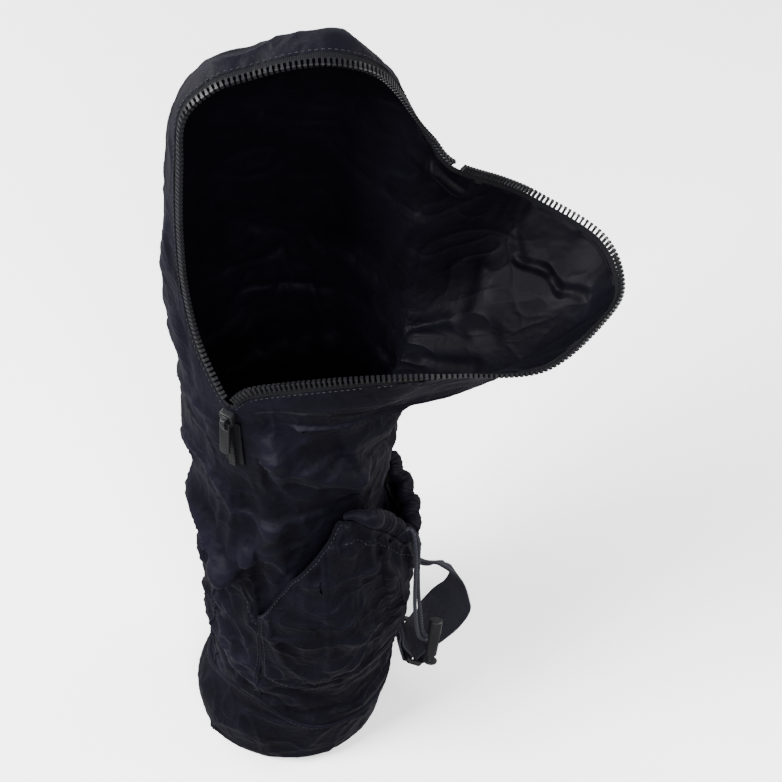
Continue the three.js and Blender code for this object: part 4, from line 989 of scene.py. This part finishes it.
def crumpled(points, seed):
    """Crisp crumples of thin nylon: three sizes of sharp ridges lying mostly across the tube."""
    big = creases(points * (1, 1, 1.7), 0.044, seed, 3.0) - 0.3
    middle = creases(points * (1.1, 1.1, 1.3), 0.024, seed + 5, 4.0) - 0.25
    small = creases(points * (1, 1, 1.3), 0.0105, seed + 9, 4.5) - 0.25
    return big, middle, 0.0030 * big + 0.0016 * middle + 0.0006 * small


def grid_normals(points):
    return unit(np.cross(np.gradient(points, axis=0), np.gradient(points, axis=1)))


def shaped(place, level):
    """The outer face of the cloth with all its folds, its normals, and how sharp its creases are, a mask that
    lightens the colour on the crests as painted highlight.
    """
    start = whole_surface(place, np.abs(level))
    foot = whole_surface(place, 0 * level)
    points = np.where((level < 0)[..., None], 2 * foot - start, start)
    normal = grid_normals(points)
    angle = (column_angle(place) + 540) % 360 - 180
    on_tube = smooth((1.08 - level) / 0.1)
    covered = pocket_cover(angle, points[..., 2]) * on_tube
    slack = smooth(level / 0.05) * smooth((1.98 - level) / 0.12) * (1 - covered)
    calm = 1 - 0.85 * zip_calm(angle, points[..., 2])
    big, middle, crumple = crumpled(points, 3)
    strong = 1 - 0.62 * smooth((level - 1) / 0.25)
    out = 1.6 * tube_crease(angle, points[..., 2]) * on_tube
    out = out + mouth_crease(place, level) * smooth((level - 1) / 0.1) * smooth((1.99 - level) / 0.05)
    rim_away = (2 - level) * LEVEL_LONG
    pucker = noise(stack(place * PLACE_WIDE, 0 * level, rim_away * 0.18), 0.0062, 17)
    pucker = pucker * smooth((rim_away - 0.004) / 0.006) * np.exp(-rim_away / 0.016) * 0.0034
    out = out + pucker * smooth((level - 1) / 0.2) * np.where(place < CORNER, 1.0, 0.45)
    out = out + strong * crumple * slack * calm
    points = points + normal * out[..., None]
    plain = whole_cloth(place, np.clip(level, 0, 2))
    proud = np.einsum("...k,...k->...", points - plain, normal)
    points = points - normal * (np.maximum(proud + 0.0002, 0) * covered)[..., None]
    # Crease sharpness, which the cloth's colour uses to paint a highlight on the crests.
    crest_highlight = np.clip(0.5 * big + 0.4 * middle + out / 0.006, 0, 1)
    cut = (slice(1, -1), slice(1, -1))
    return points[cut], grid_normals(points)[cut], crest_highlight[cut]


def sewn_panel(name, node, place_from, place_to, count, low, high, rows, closed=False):
    share = np.linspace(0, 1, rows)
    step = (place_to - place_from) / (count if closed else count - 1)
    places = place_from + step * (np.arange(count + 2) - 1)
    bottom = low(places) if callable(low) else np.full(len(places), low)
    top = high(places) if callable(high) else np.full(len(places), high)
    grid = np.concatenate([[-share[1]], share, [1 + share[1]]])
    level = bottom[:, None] + (top - bottom)[:, None] * grid[None, :]
    place = np.broadcast_to(places[:, None], level.shape)
    points, normals, crest_highlight = shaped(place, level)
    cloth_wall(name, node, points, normals, [navy_nylon, shaded_inner_nylon], closed, values={"crest_highlight": crest_highlight})
    return points, normals


def cloth_end(places):
    return 1 + share_before_rim(places % FULL_ROUND, TAPE_SHOWN)


TUBE_COLUMNS = 300
tube_points, tube_normals = sewn_panel("tube_cloth", "tube_lower", 0, FULL_ROUND, TUBE_COLUMNS, 0.0, 1.0, 158,
                                       True)
sewn_panel("flap_cloth", "front_flap", 0, CORNER, 300, 1.0, cloth_end, 130)
sewn_panel("right_wall_cloth", "side_wall_right", CORNER, HOOD_RIGHT, 70, 1.0, cloth_end, 130)
sewn_panel("back_cloth", "back_panel", HOOD_RIGHT, HOOD_LEFT, 150, 1.0, 1 + HOOD_SEAM, 100)
sewn_panel("hood_cloth", "hood", HOOD_RIGHT, HOOD_LEFT, 170, 1 + HOOD_SEAM, cloth_end, 90)
sewn_panel("left_wall_cloth", "side_wall_left", HOOD_LEFT, FULL_ROUND, 150, 1.0, cloth_end, 110)


# Base: a round cup with a flat bottom, rounded at its edge, up to the sagging seam

def cup_point(angle, share):
    edge = side(angle, BASE_ROUNDING)
    x, y, _, _ = section_at(np.full(np.shape(angle), BASE_ROUNDING))
    out = np.hypot(edge[..., 0] - x, edge[..., 1] - y)
    dx, dy = (edge[..., 0] - x) / out, (edge[..., 1] - y) / out
    turn = np.clip((share - 0.5) / 0.2, 0, 1) * np.pi / 2
    run = np.where(share < 0.5, (out - BASE_ROUNDING) * share * 2,
                   out - BASE_ROUNDING + BASE_ROUNDING * np.sin(turn))
    low = stack(x + dx * run, y + dy * run, BASE_ROUNDING * (1 - np.cos(turn)))
    height = BASE_ROUNDING + (seam_height(angle) - BASE_ROUNDING) * (share - 0.7) / 0.3
    high = side(angle, np.maximum(height, BASE_ROUNDING))
    return np.where((share > 0.7)[..., None], high, low)


def round_normals(points):
    wrapped = np.concatenate([points[-1:], points, points[:1]])
    return grid_normals(wrapped)[1:-1]


def base_cup():
    count = 240
    angles = -180 + 360 * np.arange(count) / count
    shares = np.concatenate([np.linspace(*span) for span in ((0.02, 0.48, 14), (0.5, 0.7, 22), (0.715, 1, 34))])
    angle, share = np.meshgrid(angles, shares, indexing="ij")
    points = cup_point(angle, share)
    normals = round_normals(points)
    slack = smooth((share - 0.58) / 0.1) * smooth((1.0 - share) / 0.05)
    big, middle, crumple = crumpled(points, 21)
    out = 0.8 * crumple * slack
    points = points + normals * out[..., None]
    # Crease sharpness on the slack band, a painted highlight on the crests.
    crest_highlight = np.clip(0.5 * big + 0.4 * middle, 0, 1) * slack
    piece = cloth_wall("base_cloth", "base_cup", points, round_normals(points), [navy_nylon, shaded_inner_nylon],
                       True, values={"crest_highlight": crest_highlight})
    bm = bmesh.new()
    bm.from_mesh(piece.data)
    bm.verts.ensure_lookup_table()
    rows = len(shares)
    centre_ring = [f for f in bm.faces if all(v.index % rows == 0 for v in f.verts)]
    bmesh.ops.delete(bm, geom=centre_ring, context="FACES_ONLY")
    for layer in (0, count * rows):
        ring = [bm.verts[layer + i * rows] for i in range(count)]
        face = bm.faces.new(ring if layer else ring[::-1])
        face.smooth = True
        face.material_index = 1 if layer else 0
    bm.to_mesh(piece.data)
    bm.free()


base_cup()


# Pocket panel: its own drape, crumples, gathers under the roll and ridges, kept clear of the tube

def side_pocket():
    count, rows = 116, 62
    angles = np.linspace(POCKET_FROM, POCKET_TO, count)
    shares = np.linspace(0, 1, rows)
    coarse = pocket_panel(angles[:, None], shares[None, :])
    edge_v = np.minimum(shares / 0.05, (1 - shares) / 0.05)[None, :]
    edge_u = np.minimum((angles - POCKET_FROM) / 4, (POCKET_TO - angles) / 4)[:, None]
    pins = 1 - 0.985 * smooth(np.minimum(edge_v, edge_u))
    moved = drape(coarse, 1.07, False, pins, 0.6, 0.6, 0.005)
    angle, v = np.meshgrid(np.linspace(POCKET_FROM, POCKET_TO, 330), np.linspace(0, 1, 150), indexing="ij")
    points = pocket_panel(angle, v) + field_at(moved, (angle - POCKET_FROM) / (POCKET_TO - POCKET_FROM), v,
                                               shares, 1, False)
    normals = grid_normals(points)
    slack = smooth(v / 0.06) * smooth((1 - v) / 0.05)
    slack = slack * smooth((angle - POCKET_FROM) / 5) * smooth((POCKET_TO - angle) / 5)
    big, middle, crumple = crumpled(points, 31)
    out = 0.9 * crumple * slack
    gather_at = np.cos(angle * 0.62 + 1.6 * np.sin(angle * 0.11)) * smooth((angle + 58) / 14)
    out = out + 0.0011 * gather_at * smooth((v - 0.62) / 0.3) * smooth((0.99 - v) / 0.05)
    for from_angle, from_height, to_angle, to_height, high, above, below in pocket_ridges:
        along_x = np.radians(to_angle - from_angle) * TUBE_RADIUS
        along_y = to_height - from_height
        height = points[..., 2]
        away, way = from_line(np.radians(angle - from_angle) * TUBE_RADIUS, height - from_height,
                              along_x, along_y)
        wide = np.where(height - from_height - along_y * way > 0, above, below)
        out = out + RIDGE_SHARE * high * np.exp(-(away / wide) ** 2) * slack
    points = points + normals * out[..., None]
    foot, top = pocket_at(angle)[:2]
    floor = side(angle, (foot + (top - foot) * v) * FORK_HEIGHT)
    lift = np.einsum("...k,...k->...", points - floor, normals)
    points = points + normals * np.maximum(CLOTH + 0.0012 - lift, 0)[..., None]
    # Crease sharpness of the pocket, a painted highlight on the crests.
    crest_highlight = np.clip(0.5 * big + 0.4 * middle, 0, 1) * slack
    normals = grid_normals(points)
    cloth_wall("pocket_cloth", "side_pocket", points, normals, [navy_nylon, shaded_inner_nylon],
               values={"crest_highlight": crest_highlight})
    return points, normals


pocket_points, pocket_normals = side_pocket()


def channel_frames(angle):
    step = 0.4
    edge = pocket_panel(angle, 1.0)
    along = unit(pocket_panel(angle + step, 1.0) - pocket_panel(angle - step, 1.0))
    normal = normal_of(pocket_panel, angle, 0.98, step, 0.01)
    upward = unit(np.cross(normal, along))
    ends = np.minimum(angle - CHANNEL_FROM, POCKET_TO - 3 - angle)
    front = smooth((angle + 24) / 12)
    radius = np.minimum(CHANNEL_RADIUS * (1 - 0.1 * front) * (0.3 + 0.7 * smooth(ends / 12)),
                        pocket_at(angle)[2] * TUBE_RADIUS - GAP)
    out = (-0.5 + front) * WALL
    centre = edge + upward * (radius + 2 * GAP)[:, None] + normal * out[:, None]
    return centre, normal, upward, radius


def pocket_channel():
    angles = np.linspace(CHANNEL_FROM, POCKET_TO - 3, 420)
    centre, normal, upward, radius = channel_frames(angles)
    turn = full_turn(36)
    run = (angles - CHANNEL_FROM)[:, None]
    gather = np.cos(run * 1.25 + 1.4 * np.sin(run * 0.37) + 0.8 * np.sin(turn * 2))
    gather = gather * 0.6 + 0.4 * np.cos(run * 2.3 + 2.0 * np.sin(run * 0.21) + 1.3 * np.cos(turn))
    ends = smooth(np.minimum(run, run[::-1]) / 9)
    r = radius[:, None] * (0.95 + 0.10 * (1 - np.abs(gather)) ** 1.5 * ends)
    outline = np.stack([r * np.cos(turn), r * np.sin(turn)], axis=-1)
    # The roll gets a fixed crest value: painted highlight that lightens its colour.
    sweep("pocket_rim_roll", centre, normal, upward, outline, navy_nylon, "pocket_channel",
          values={"crest_highlight": np.full(len(angles), 0.3)}, across=turn * CHANNEL_RADIUS)


pocket_channel()


# Zip: tapes sewn into the cloth's edge, moulded teeth past their edge, and the closed stretch below

def strip(name, node, surface, us, vs, middle, thickness, du=0.001, dv=0.001):
    u = np.broadcast_to(us[:, None], vs.shape)
    normals = normal_of(surface, u, vs, du, dv)
    outer = surface(u, vs) + normals * (middle + thickness / 2)
    cloth_wall(name, node, outer, normals, [zip_weave], thickness=thickness)


def turned_mouth(place, t):
    return mouth(place % FULL_ROUND, t)


def rim_tape(name, node, place_from, place_to, count):
    places = np.linspace(place_from, place_to, count)
    shares = share_before_rim(places % FULL_ROUND, TAPE_SHOWN + TAPE_TUCKED)
    across = np.linspace(0, 1, 9)
    vs = shares[:, None] + (0.9985 - shares)[:, None] * across[None, :]
    strip(name, node, turned_mouth, places, vs, -CLOTH / 2, 0.0007)


rim_tape("flap_zip_tape", "zip_tape_flap", 0.02, CORNER, 420)
rim_tape("bag_zip_tape", "zip_tape_bag", CORNER, FULL_ROUND - 0.02, 400)


def tooth_shape():
    bpy.ops.object.select_all(action="DESELECT")
    bpy.ops.mesh.primitive_cube_add(size=1, location=(0, 0, 0))
    tooth = bpy.context.object
    for v in tooth.data.vertices:
        v.co = (v.co.x * 0.0034, v.co.y * 0.0015, v.co.z * 0.0025)
    bpy.ops.object.mode_set(mode="EDIT")
    bpy.ops.mesh.select_all(action="DESELECT")
    bpy.ops.object.mode_set(mode="OBJECT")
    for face in tooth.data.polygons:
        face.select = face.normal.x > 0.9
    bpy.ops.object.mode_set(mode="EDIT")
    bpy.ops.mesh.extrude_region_move(TRANSFORM_OT_translate={"value": (0.0003, 0, 0)})
    bpy.ops.transform.resize(value=(1, 1.5, 1.1))
    bpy.ops.mesh.extrude_region_move(TRANSFORM_OT_translate={"value": (0.0009, 0, 0)})
    bpy.ops.transform.resize(value=(1, 0.75, 0.85))
    bpy.ops.object.mode_set(mode="OBJECT")
    points = np.array([v.co[:] for v in tooth.data.vertices])
    faces = [tuple(p.vertices) for p in tooth.data.polygons]
    points[:, 0] -= (points[:, 0].min() + points[:, 0].max()) / 2
    bpy.data.objects.remove(tooth)
    return points, faces


tooth_points, tooth_faces = tooth_shape()


def row_of_teeth(name, node, centres, across, along, normal):
    points = (centres[:, None, :] + across[:, None, :] * tooth_points[None, :, :1]
              + along[:, None, :] * tooth_points[None, :, 1:2] + normal[:, None, :] * tooth_points[None, :, 2:])
    faces = []
    size = len(tooth_points)
    for k in range(len(centres)):
        faces.extend(tuple(i + k * size for i in f) for f in tooth_faces)
    piece = new_piece(name, points.reshape(-1, 3), faces, finishes=[tooth_moulded])
    face_outward(piece)
    smooth_by_angle(piece, 30)
    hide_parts(node)


def rim_teeth(name, node, place_from, place_to):
    fine = np.linspace(place_from, place_to, 3000)
    line = turned_mouth(fine, 1.0)
    run = run_along(line)
    place = np.interp(np.arange(TOOTH_PITCH / 2, run[-1], TOOTH_PITCH), run, fine)
    step = 0.002
    normal = normal_of(turned_mouth, place, 1 - step, step, step)
    beyond = unit(turned_mouth(place, 1.0) - turned_mouth(place, 1 - step))
    along = unit(turned_mouth(place + step, 1.0) - turned_mouth(place - step, 1.0))
    across = unit(beyond - along * np.einsum("ij,ij->i", beyond, along)[:, None])
    centre = turned_mouth(place, 1.0) + across * (TEETH_WIDTH / 2 - 0.0002) - normal * CLOTH / 2
    row_of_teeth(name, node, centre, across, along, np.cross(across, along))


rim_teeth("flap_zip_teeth", "zip_teeth_flap", 0.28, CORNER - 0.12)
rim_teeth("bag_zip_teeth", "zip_teeth_bag", CORNER + 0.12, FULL_ROUND - 0.28)

tape_half = math.degrees(CLOSED_TAPE_HALF / TUBE_RADIUS)
closed_us = np.linspace(ZIP_ANGLE - tape_half, ZIP_ANGLE + tape_half, 13)
closed_rows = np.linspace(FORK_HEIGHT - CLOSED_ZIP_LENGTH, FORK_HEIGHT - GAP, 40)
strip("closed_zip_tape", "zip_closed_tape", side, closed_us, np.broadcast_to(closed_rows, (13, 40)),
      GAP + 0.0005, 0.0009, 0.05, 0.0005)


def closed_teeth():
    heights = np.arange(FORK_HEIGHT - CLOSED_ZIP_LENGTH + 0.001, FORK_HEIGHT - 0.002, TOOTH_PITCH / 2)
    hand = np.where(np.arange(len(heights)) % 2 == 0, 1.0, -1.0)
    angle = np.full(len(heights), float(ZIP_ANGLE))
    normal = normal_of(side, angle, heights, 0.05, 0.0005)
    up = unit(side(angle, heights + 0.001) - side(angle, heights - 0.001))
    across = np.cross(up, normal) * hand[:, None]
    centre = side(angle, heights) + normal * 0.0029 - across * 0.0001
    row_of_teeth("closed_zip_teeth", "zip_closed_teeth", centre, across, up * hand[:, None], normal)


closed_teeth()
hard_copy("zip_slider", "zip_slider_body", 0.0004)
hard_copy("zip_pull", "zip_pull_tab", 0.00045, "zip_pull")


# Stitching: short thread stitches laid along seams, and welts where two panels meet

STITCH_LENGTH = 0.0026
STITCH_STEP = 0.0037
STITCH_WIDTH = 0.0006
STITCH_LIFT = 0.0002
STITCH_INSET = 0.0016
STITCH_BESIDE = 0.0028


def even_on(line, normals, step):
    run = run_along(line)
    at = np.arange(step / 2, run[-1], step)
    ahead, behind = points_at(at + 0.0005, run, line), points_at(at - 0.0005, run, line)
    return points_at(at, run, line), unit(points_at(at, run, normals)), unit(ahead - behind)


def stitch_row(name, line, normals):
    points, facing, along = even_on(line, normals, STITCH_STEP)
    across = np.cross(along, facing)
    half, wide, high = STITCH_LENGTH / 2, STITCH_WIDTH / 2, STITCH_WIDTH * 0.5
    shape = np.array([(-half, 0, -high), (-half * 0.6, -wide, 0), (-half * 0.6, wide, 0),
                      (-half * 0.4, 0, high), (half * 0.4, 0, high), (half * 0.6, -wide, 0),
                      (half * 0.6, wide, 0), (half, 0, -high), (-half * 0.5, 0, -high * 2),
                      (half * 0.5, 0, -high * 2)])
    faces = [(0, 1, 3), (0, 3, 2), (1, 5, 4, 3), (3, 4, 6, 2), (7, 4, 5), (7, 6, 4),
             (0, 8, 1), (0, 2, 8), (1, 8, 9, 5), (2, 6, 9, 8), (5, 9, 7), (6, 7, 9)]
    spots = (points[:, None, :] + along[:, None, :] * shape[None, :, :1]
             + across[:, None, :] * shape[None, :, 1:2] + facing[:, None, :] * shape[None, :, 2:])
    all_faces = [tuple(i + k * len(shape) for i in f) for k in range(len(points)) for f in faces]
    piece = new_piece(name, spots.reshape(-1, 3), all_faces, finishes=[sewing_thread])
    face_outward(piece)
    piece.data.shade_smooth()


def welt(name, line, normals, radius, round_end=False):
    along = unit(np.gradient(line, axis=0))
    across = unit(np.cross(along, normals))
    turn = full_turn(8)
    outline = np.stack([radius * 1.3 * np.cos(turn), radius * np.sin(turn)], axis=-1)
    # Welts get a fixed crest value: painted highlight that lightens their colour.
    sweep(name, line, across, normals, outline, navy_nylon,
          values={"crest_highlight": np.full(len(line), 0.4)}, across=turn * radius, round_end=round_end)


def rim_line(place_from, place_to, length, count):
    places = np.linspace(place_from, place_to, count)
    level = 1 + share_before_rim(places % FULL_ROUND, length)
    spread = np.array([-0.01, 0, 0.01])
    place = np.broadcast_to(places[:, None], (count, 3))
    grid = whole_surface(place, level[:, None] + spread)
    middle = grid[:, 1]
    up = grid[:, 2] - grid[:, 0]
    normals = unit(np.cross(np.gradient(middle, axis=0), up))
    return middle + normals * STITCH_LIFT, normals


for name, place_from, place_to in (("flap_zip_stitching", 0.3, CORNER - 0.1),
                                   ("bag_zip_stitching", CORNER + 0.1, FULL_ROUND - 0.3)):
    stitch_row(name, *rim_line(place_from, place_to, TAPE_SHOWN + STITCH_INSET, 700))


def tube_line(way):
    """A line on the dressed tube through (angle, height) points."""
    way = np.array(way, float)
    place = np.linspace(0, len(way) - 1, 40 * len(way))
    angle, height = (np.interp(place, np.arange(len(way)), way[:, k]) for k in (0, 1))
    column = np.interp(angle % 360, *tube_columns)
    foot = seam_height(angle)
    row = np.clip((height - foot) / (FORK_HEIGHT - foot), 0, 1) * (tube_points.shape[1] - 1)
    i, j = np.floor(column).astype(int), np.floor(row).astype(int)
    s, t = (column - i)[:, None], (row - j)[:, None]
    j = np.minimum(j, tube_points.shape[1] - 2)

    def between(grid):
        a, b = grid[i % len(grid)], grid[(i + 1) % len(grid)]
        k = np.arange(len(i))
        return (a[k, j] * (1 - s) + b[k, j] * s) * (1 - t) + (a[k, j + 1] * (1 - s) + b[k, j + 1] * s) * t

    return between(tube_points), unit(between(tube_normals))


# The tube's columns by angle: the angles in rising order, and each one's column
turns = column_angle(np.arange(TUBE_COLUMNS) * FULL_ROUND / TUBE_COLUMNS) % 360
rising = np.sort(turns)
tube_columns = (np.append(rising, rising[0] + 360),
                (np.argmin(turns) + np.arange(TUBE_COLUMNS + 1)).astype(float))

panel_seams = {
    # name: (angle, height) points
    "front_left_seam": [(-138, 0.254), (-124, 0.222), (-110, 0.194), (-113, 0.149), (-118, 0.09)],
    "left_seam": [(-144, 0.225), (-152, 0.17), (-164, 0.11), (-171, 0.056)],
    "back_seam": [(96, 0.062), (96, 0.40)],
}
for name, way in panel_seams.items():
    line, normals = tube_line(way)
    lifted = line + normals * STITCH_LIFT
    welt(name + "_welt", lifted, normals, 0.0009)
    beside = unit(np.cross(np.gradient(line, axis=0), normals)) * STITCH_BESIDE
    stitch_row(name + "_stitching", lifted + beside, normals)


def base_seam():
    turn = np.linspace(-180, 180, 361)[:-1]
    height = seam_height(turn)
    facing = normal_of(side, turn, height, 0.5, 0.0005)
    welt("base_seam_welt", side(turn, height) + facing * 0.0003, facing, 0.0014, True)
    low = side(turn, height - 0.0032) + facing * 0.0003
    stitch_row("base_seam_stitching", np.concatenate([low, low[:1]]), np.concatenate([facing, facing[:1]]))


base_seam()

for name, i, j in (("pocket_left_stitching", slice(5, 6), slice(4, 146)),
                   ("pocket_right_stitching", slice(324, 325), slice(4, 146)),
                   ("pocket_foot_stitching", slice(5, 325), slice(4, 5)),
                   ("pocket_hem_stitching", slice(92, 322), slice(134, 135)),
                   ("pocket_top_stitching", slice(4, 94), slice(145, 146))):
    line, normals = pocket_points[i, j].reshape(-1, 3), pocket_normals[i, j].reshape(-1, 3)
    stitch_row(name, line + normals * STITCH_LIFT, normals)

# Shoulder strap: webbing in a ring beside the base, round the right side and up the back

RING_ANGLE = 11
RING_HEIGHT = 0.055
RING_DROP = math.radians(38)
RING_BAR = 0.0034
RING_OPENING = 0.009
TAB_RISE = 0.030
bearing = np.array([math.cos(math.radians(RING_ANGLE)), math.sin(math.radians(RING_ANGLE)), 0])
sideways = np.array([math.sin(math.radians(RING_ANGLE)), -math.cos(math.radians(RING_ANGLE)), 0])
bar_radius = RING_BAR * math.sqrt(0.5) + GAP + WEBBING_THICKNESS / 2
ring_down = bearing * math.cos(RING_DROP) - np.array([0, 0, math.sin(RING_DROP)])
tab_seat = side(RING_ANGLE, RING_HEIGHT + TAB_RISE)
upper_bar = np.array([tab_seat[0], tab_seat[1], RING_HEIGHT]) + bearing * (
    GAP + WEBBING_THICKNESS + bar_radius + 0.001)
lower_bar = upper_bar + ring_down * (RING_BAR + RING_OPENING)


def round_bar(bar, degrees, out=0.0):
    a = math.radians(degrees)
    return bar + bearing * math.cos(a) * (bar_radius + out) + np.array([0, 0, math.sin(a) * (bar_radius + out)])


def on_tube(height, layer):
    return side(RING_ANGLE, height) + bearing * (
        2 * GAP + WEBBING_THICKNESS / 2 + layer * (WEBBING_THICKNESS + GAP))


tab_rows = [
    (on_tube(RING_HEIGHT + TAB_RISE, 0), sideways),
    (on_tube(RING_HEIGHT + TAB_RISE * 0.6, 0), sideways),
    *[(round_bar(upper_bar, a), sideways) for a in (165, 215, 265, 315, 5)],
    (on_tube(RING_HEIGHT + TAB_RISE * 0.6, 1.35), sideways),
    (on_tube(RING_HEIGHT + TAB_RISE, 1), sideways),
]

strap_table = [
    # x, y, up, wx, wy, wz
    (1.22, 0.20, 0.139, 0.18, -0.97, -0.04),
    (1.30, 0.22, 0.177, 0.28, -0.90, -0.25),
    (1.46, 0.28, 0.210, 0.40, -0.85, -0.30),
    (1.59, 0.38, 0.236, 0.40, -0.85, 0.05),
    (1.58, 0.48, 0.272, 0.22, -0.80, 0.50),
    (1.42, 0.56, 0.286, 0.10, -0.68, 0.72),
    (1.24, 0.63, 0.280, 0.05, -0.60, 0.78),
    (1.09, 0.76, 0.276, 0.12, -0.48, 0.86),
    (0.87, 0.99, 0.285, 0.25, -0.30, 0.90),
    (0.60, 1.18, 0.325, 0.50, -0.22, 0.80),
    (0.33, 1.30, 0.410, 0.80, -0.12, 0.45),
    (0.12, 1.34, 0.550, 0.98, 0.00, 0.12),
    (0.03, 1.34, 0.740, 1.00, 0.00, 0.00),
    (0.00, 1.31, 0.930, 1.00, 0.00, 0.00),
    (0.00, 1.27, 1.110, 1.00, 0.00, 0.00),
]
BACK_COLUMN = CORNER + 5.7
STRAP_END_SHARE = 0.28


def strap_end(share, stand):
    normal = normal_of(mouth, np.array([BACK_COLUMN]), np.array([share]), 0.001, 0.001)[0]
    return mouth(BACK_COLUMN, share) + normal * (2 * GAP + WEBBING_THICKNESS / 2 + stand), (1, 0, 0)


tube_x, tube_y, _, _ = section_at(FORK_HEIGHT)
strap_rows = [
    (lower_bar + bearing * 0.0042 + np.array([0, 0, 0.0145]), (0.2, -0.96, -0.08)),
    (lower_bar + bearing * 0.0006 + np.array([0, 0, 0.0085]), (0.18, -0.97, -0.04)),
    *[(round_bar(lower_bar, a), sideways) for a in (165, 215, 270, 325)],
    (round_bar(lower_bar, 10, 0.0003), sideways),
    *[(np.array([tube_x + x * TUBE_RADIUS, tube_y + y * TUBE_RADIUS, up * FORK_HEIGHT]), (wx, wy, wz))
      for x, y, up, wx, wy, wz in strap_table],
    strap_end(STRAP_END_SHARE, 0.005),
    strap_end(STRAP_END_SHARE + 0.06, 0.0016),
    strap_end(STRAP_END_SHARE + 0.12, 0.0006),
]


def webbing_outline(width, thickness, ribs=18):
    half = width / 2
    xs = np.linspace(-half + 0.0007, half - 0.0007, ribs * 2 + 1)
    wave = 0.00007 * np.cos(np.arange(len(xs)) * np.pi)
    top = np.stack([xs, thickness / 2 - 0.0001 + wave], axis=-1)
    bottom = np.stack([xs[::-1], -thickness / 2 + 0.0001 - wave], axis=-1)
    right = np.array([(half, thickness * 0.25), (half, -thickness * 0.25)])
    left = np.array([(-half, -thickness * 0.25), (-half, thickness * 0.25)])
    return np.concatenate([top, right, bottom, left])


def ribbon(name, node, rows, steps):
    points = np.array([r[0] for r in rows])
    widths = np.array([r[1] for r in rows], float)
    place = np.linspace(0, len(rows) - 1, steps)
    line = smooth_line(points, place)
    along = unit(smooth_line(points, place + 0.002) - smooth_line(points, place - 0.002))
    i = np.clip(np.floor(place).astype(int), 0, len(rows) - 2)
    turned = widths[i] + (widths[i + 1] - widths[i]) * (place - i)[:, None]
    first = unit(turned - along * np.einsum("ij,ij->i", turned, along)[:, None])
    second = unit(np.cross(along, first))
    outline = webbing_outline(WEBBING_WIDTH, WEBBING_THICKNESS)
    sweep(name, line, first, second, outline, webbing_weave, node, 40,
          across=outline[:, 0] + WEBBING_WIDTH / 2)


ribbon("strap_webbing", "shoulder_strap", strap_rows, 620)
ribbon("ring_tab_webbing", "strap_tab", tab_rows, 160)
hard_copy("strap_ring", "strap_ring_bar", 0.0011)


# Floor and soft studio light

def studio():
    f = Finish("pale_floor")
    speck = f.noise(f.places(), 400, 2)
    pale = f.done(f.mix(speck, (0.94, 0.94, 0.95, 1), (0.97, 0.97, 0.98, 1)), 0.75)
    bpy.ops.object.select_all(action="DESELECT")
    bpy.ops.mesh.primitive_plane_add(size=12, location=(0, 2, -0.0004))
    floor = bpy.context.object
    floor.name = "studio_floor"
    bpy.ops.object.transform_apply(location=True)
    floor.data.materials.append(pale)
    floor.visible_diffuse = False
    floor.visible_glossy = False
    world = bpy.data.worlds.new("studio_air")
    world.use_nodes = True
    back = world.node_tree.nodes["Background"]
    back.inputs["Color"].default_value = (1, 1, 1, 1)
    back.inputs["Strength"].default_value = 0.75
    bpy.context.scene.world = world
    lamps = [
        # name, place, size, power
        ("window_left", (-1.3, -0.7, 1.8), 1.0, 190),
        ("window_front", (0.3, -1.9, 2.1), 1.0, 120),
        ("window_back", (-1.5, 1.3, 1.3), 1.2, 60),
        ("window_right", (1.9, 0.3, 1.0), 1.2, 50),
    ]
    for name, place, size, power in lamps:
        light = bpy.data.lights.new(name, "AREA")
        light.size = size
        light.energy = power
        lamp = bpy.data.objects.new(name, light)
        lamp.location = place
        toward = np.array((0.05, 0, 0.3)) - place
        yaw = math.atan2(toward[1], toward[0])
        tilt = math.atan2(math.hypot(toward[0], toward[1]), -toward[2])
        lamp.rotation_euler = (tilt, 0, yaw - math.pi / 2)
        bpy.context.scene.collection.objects.link(lamp)


studio()
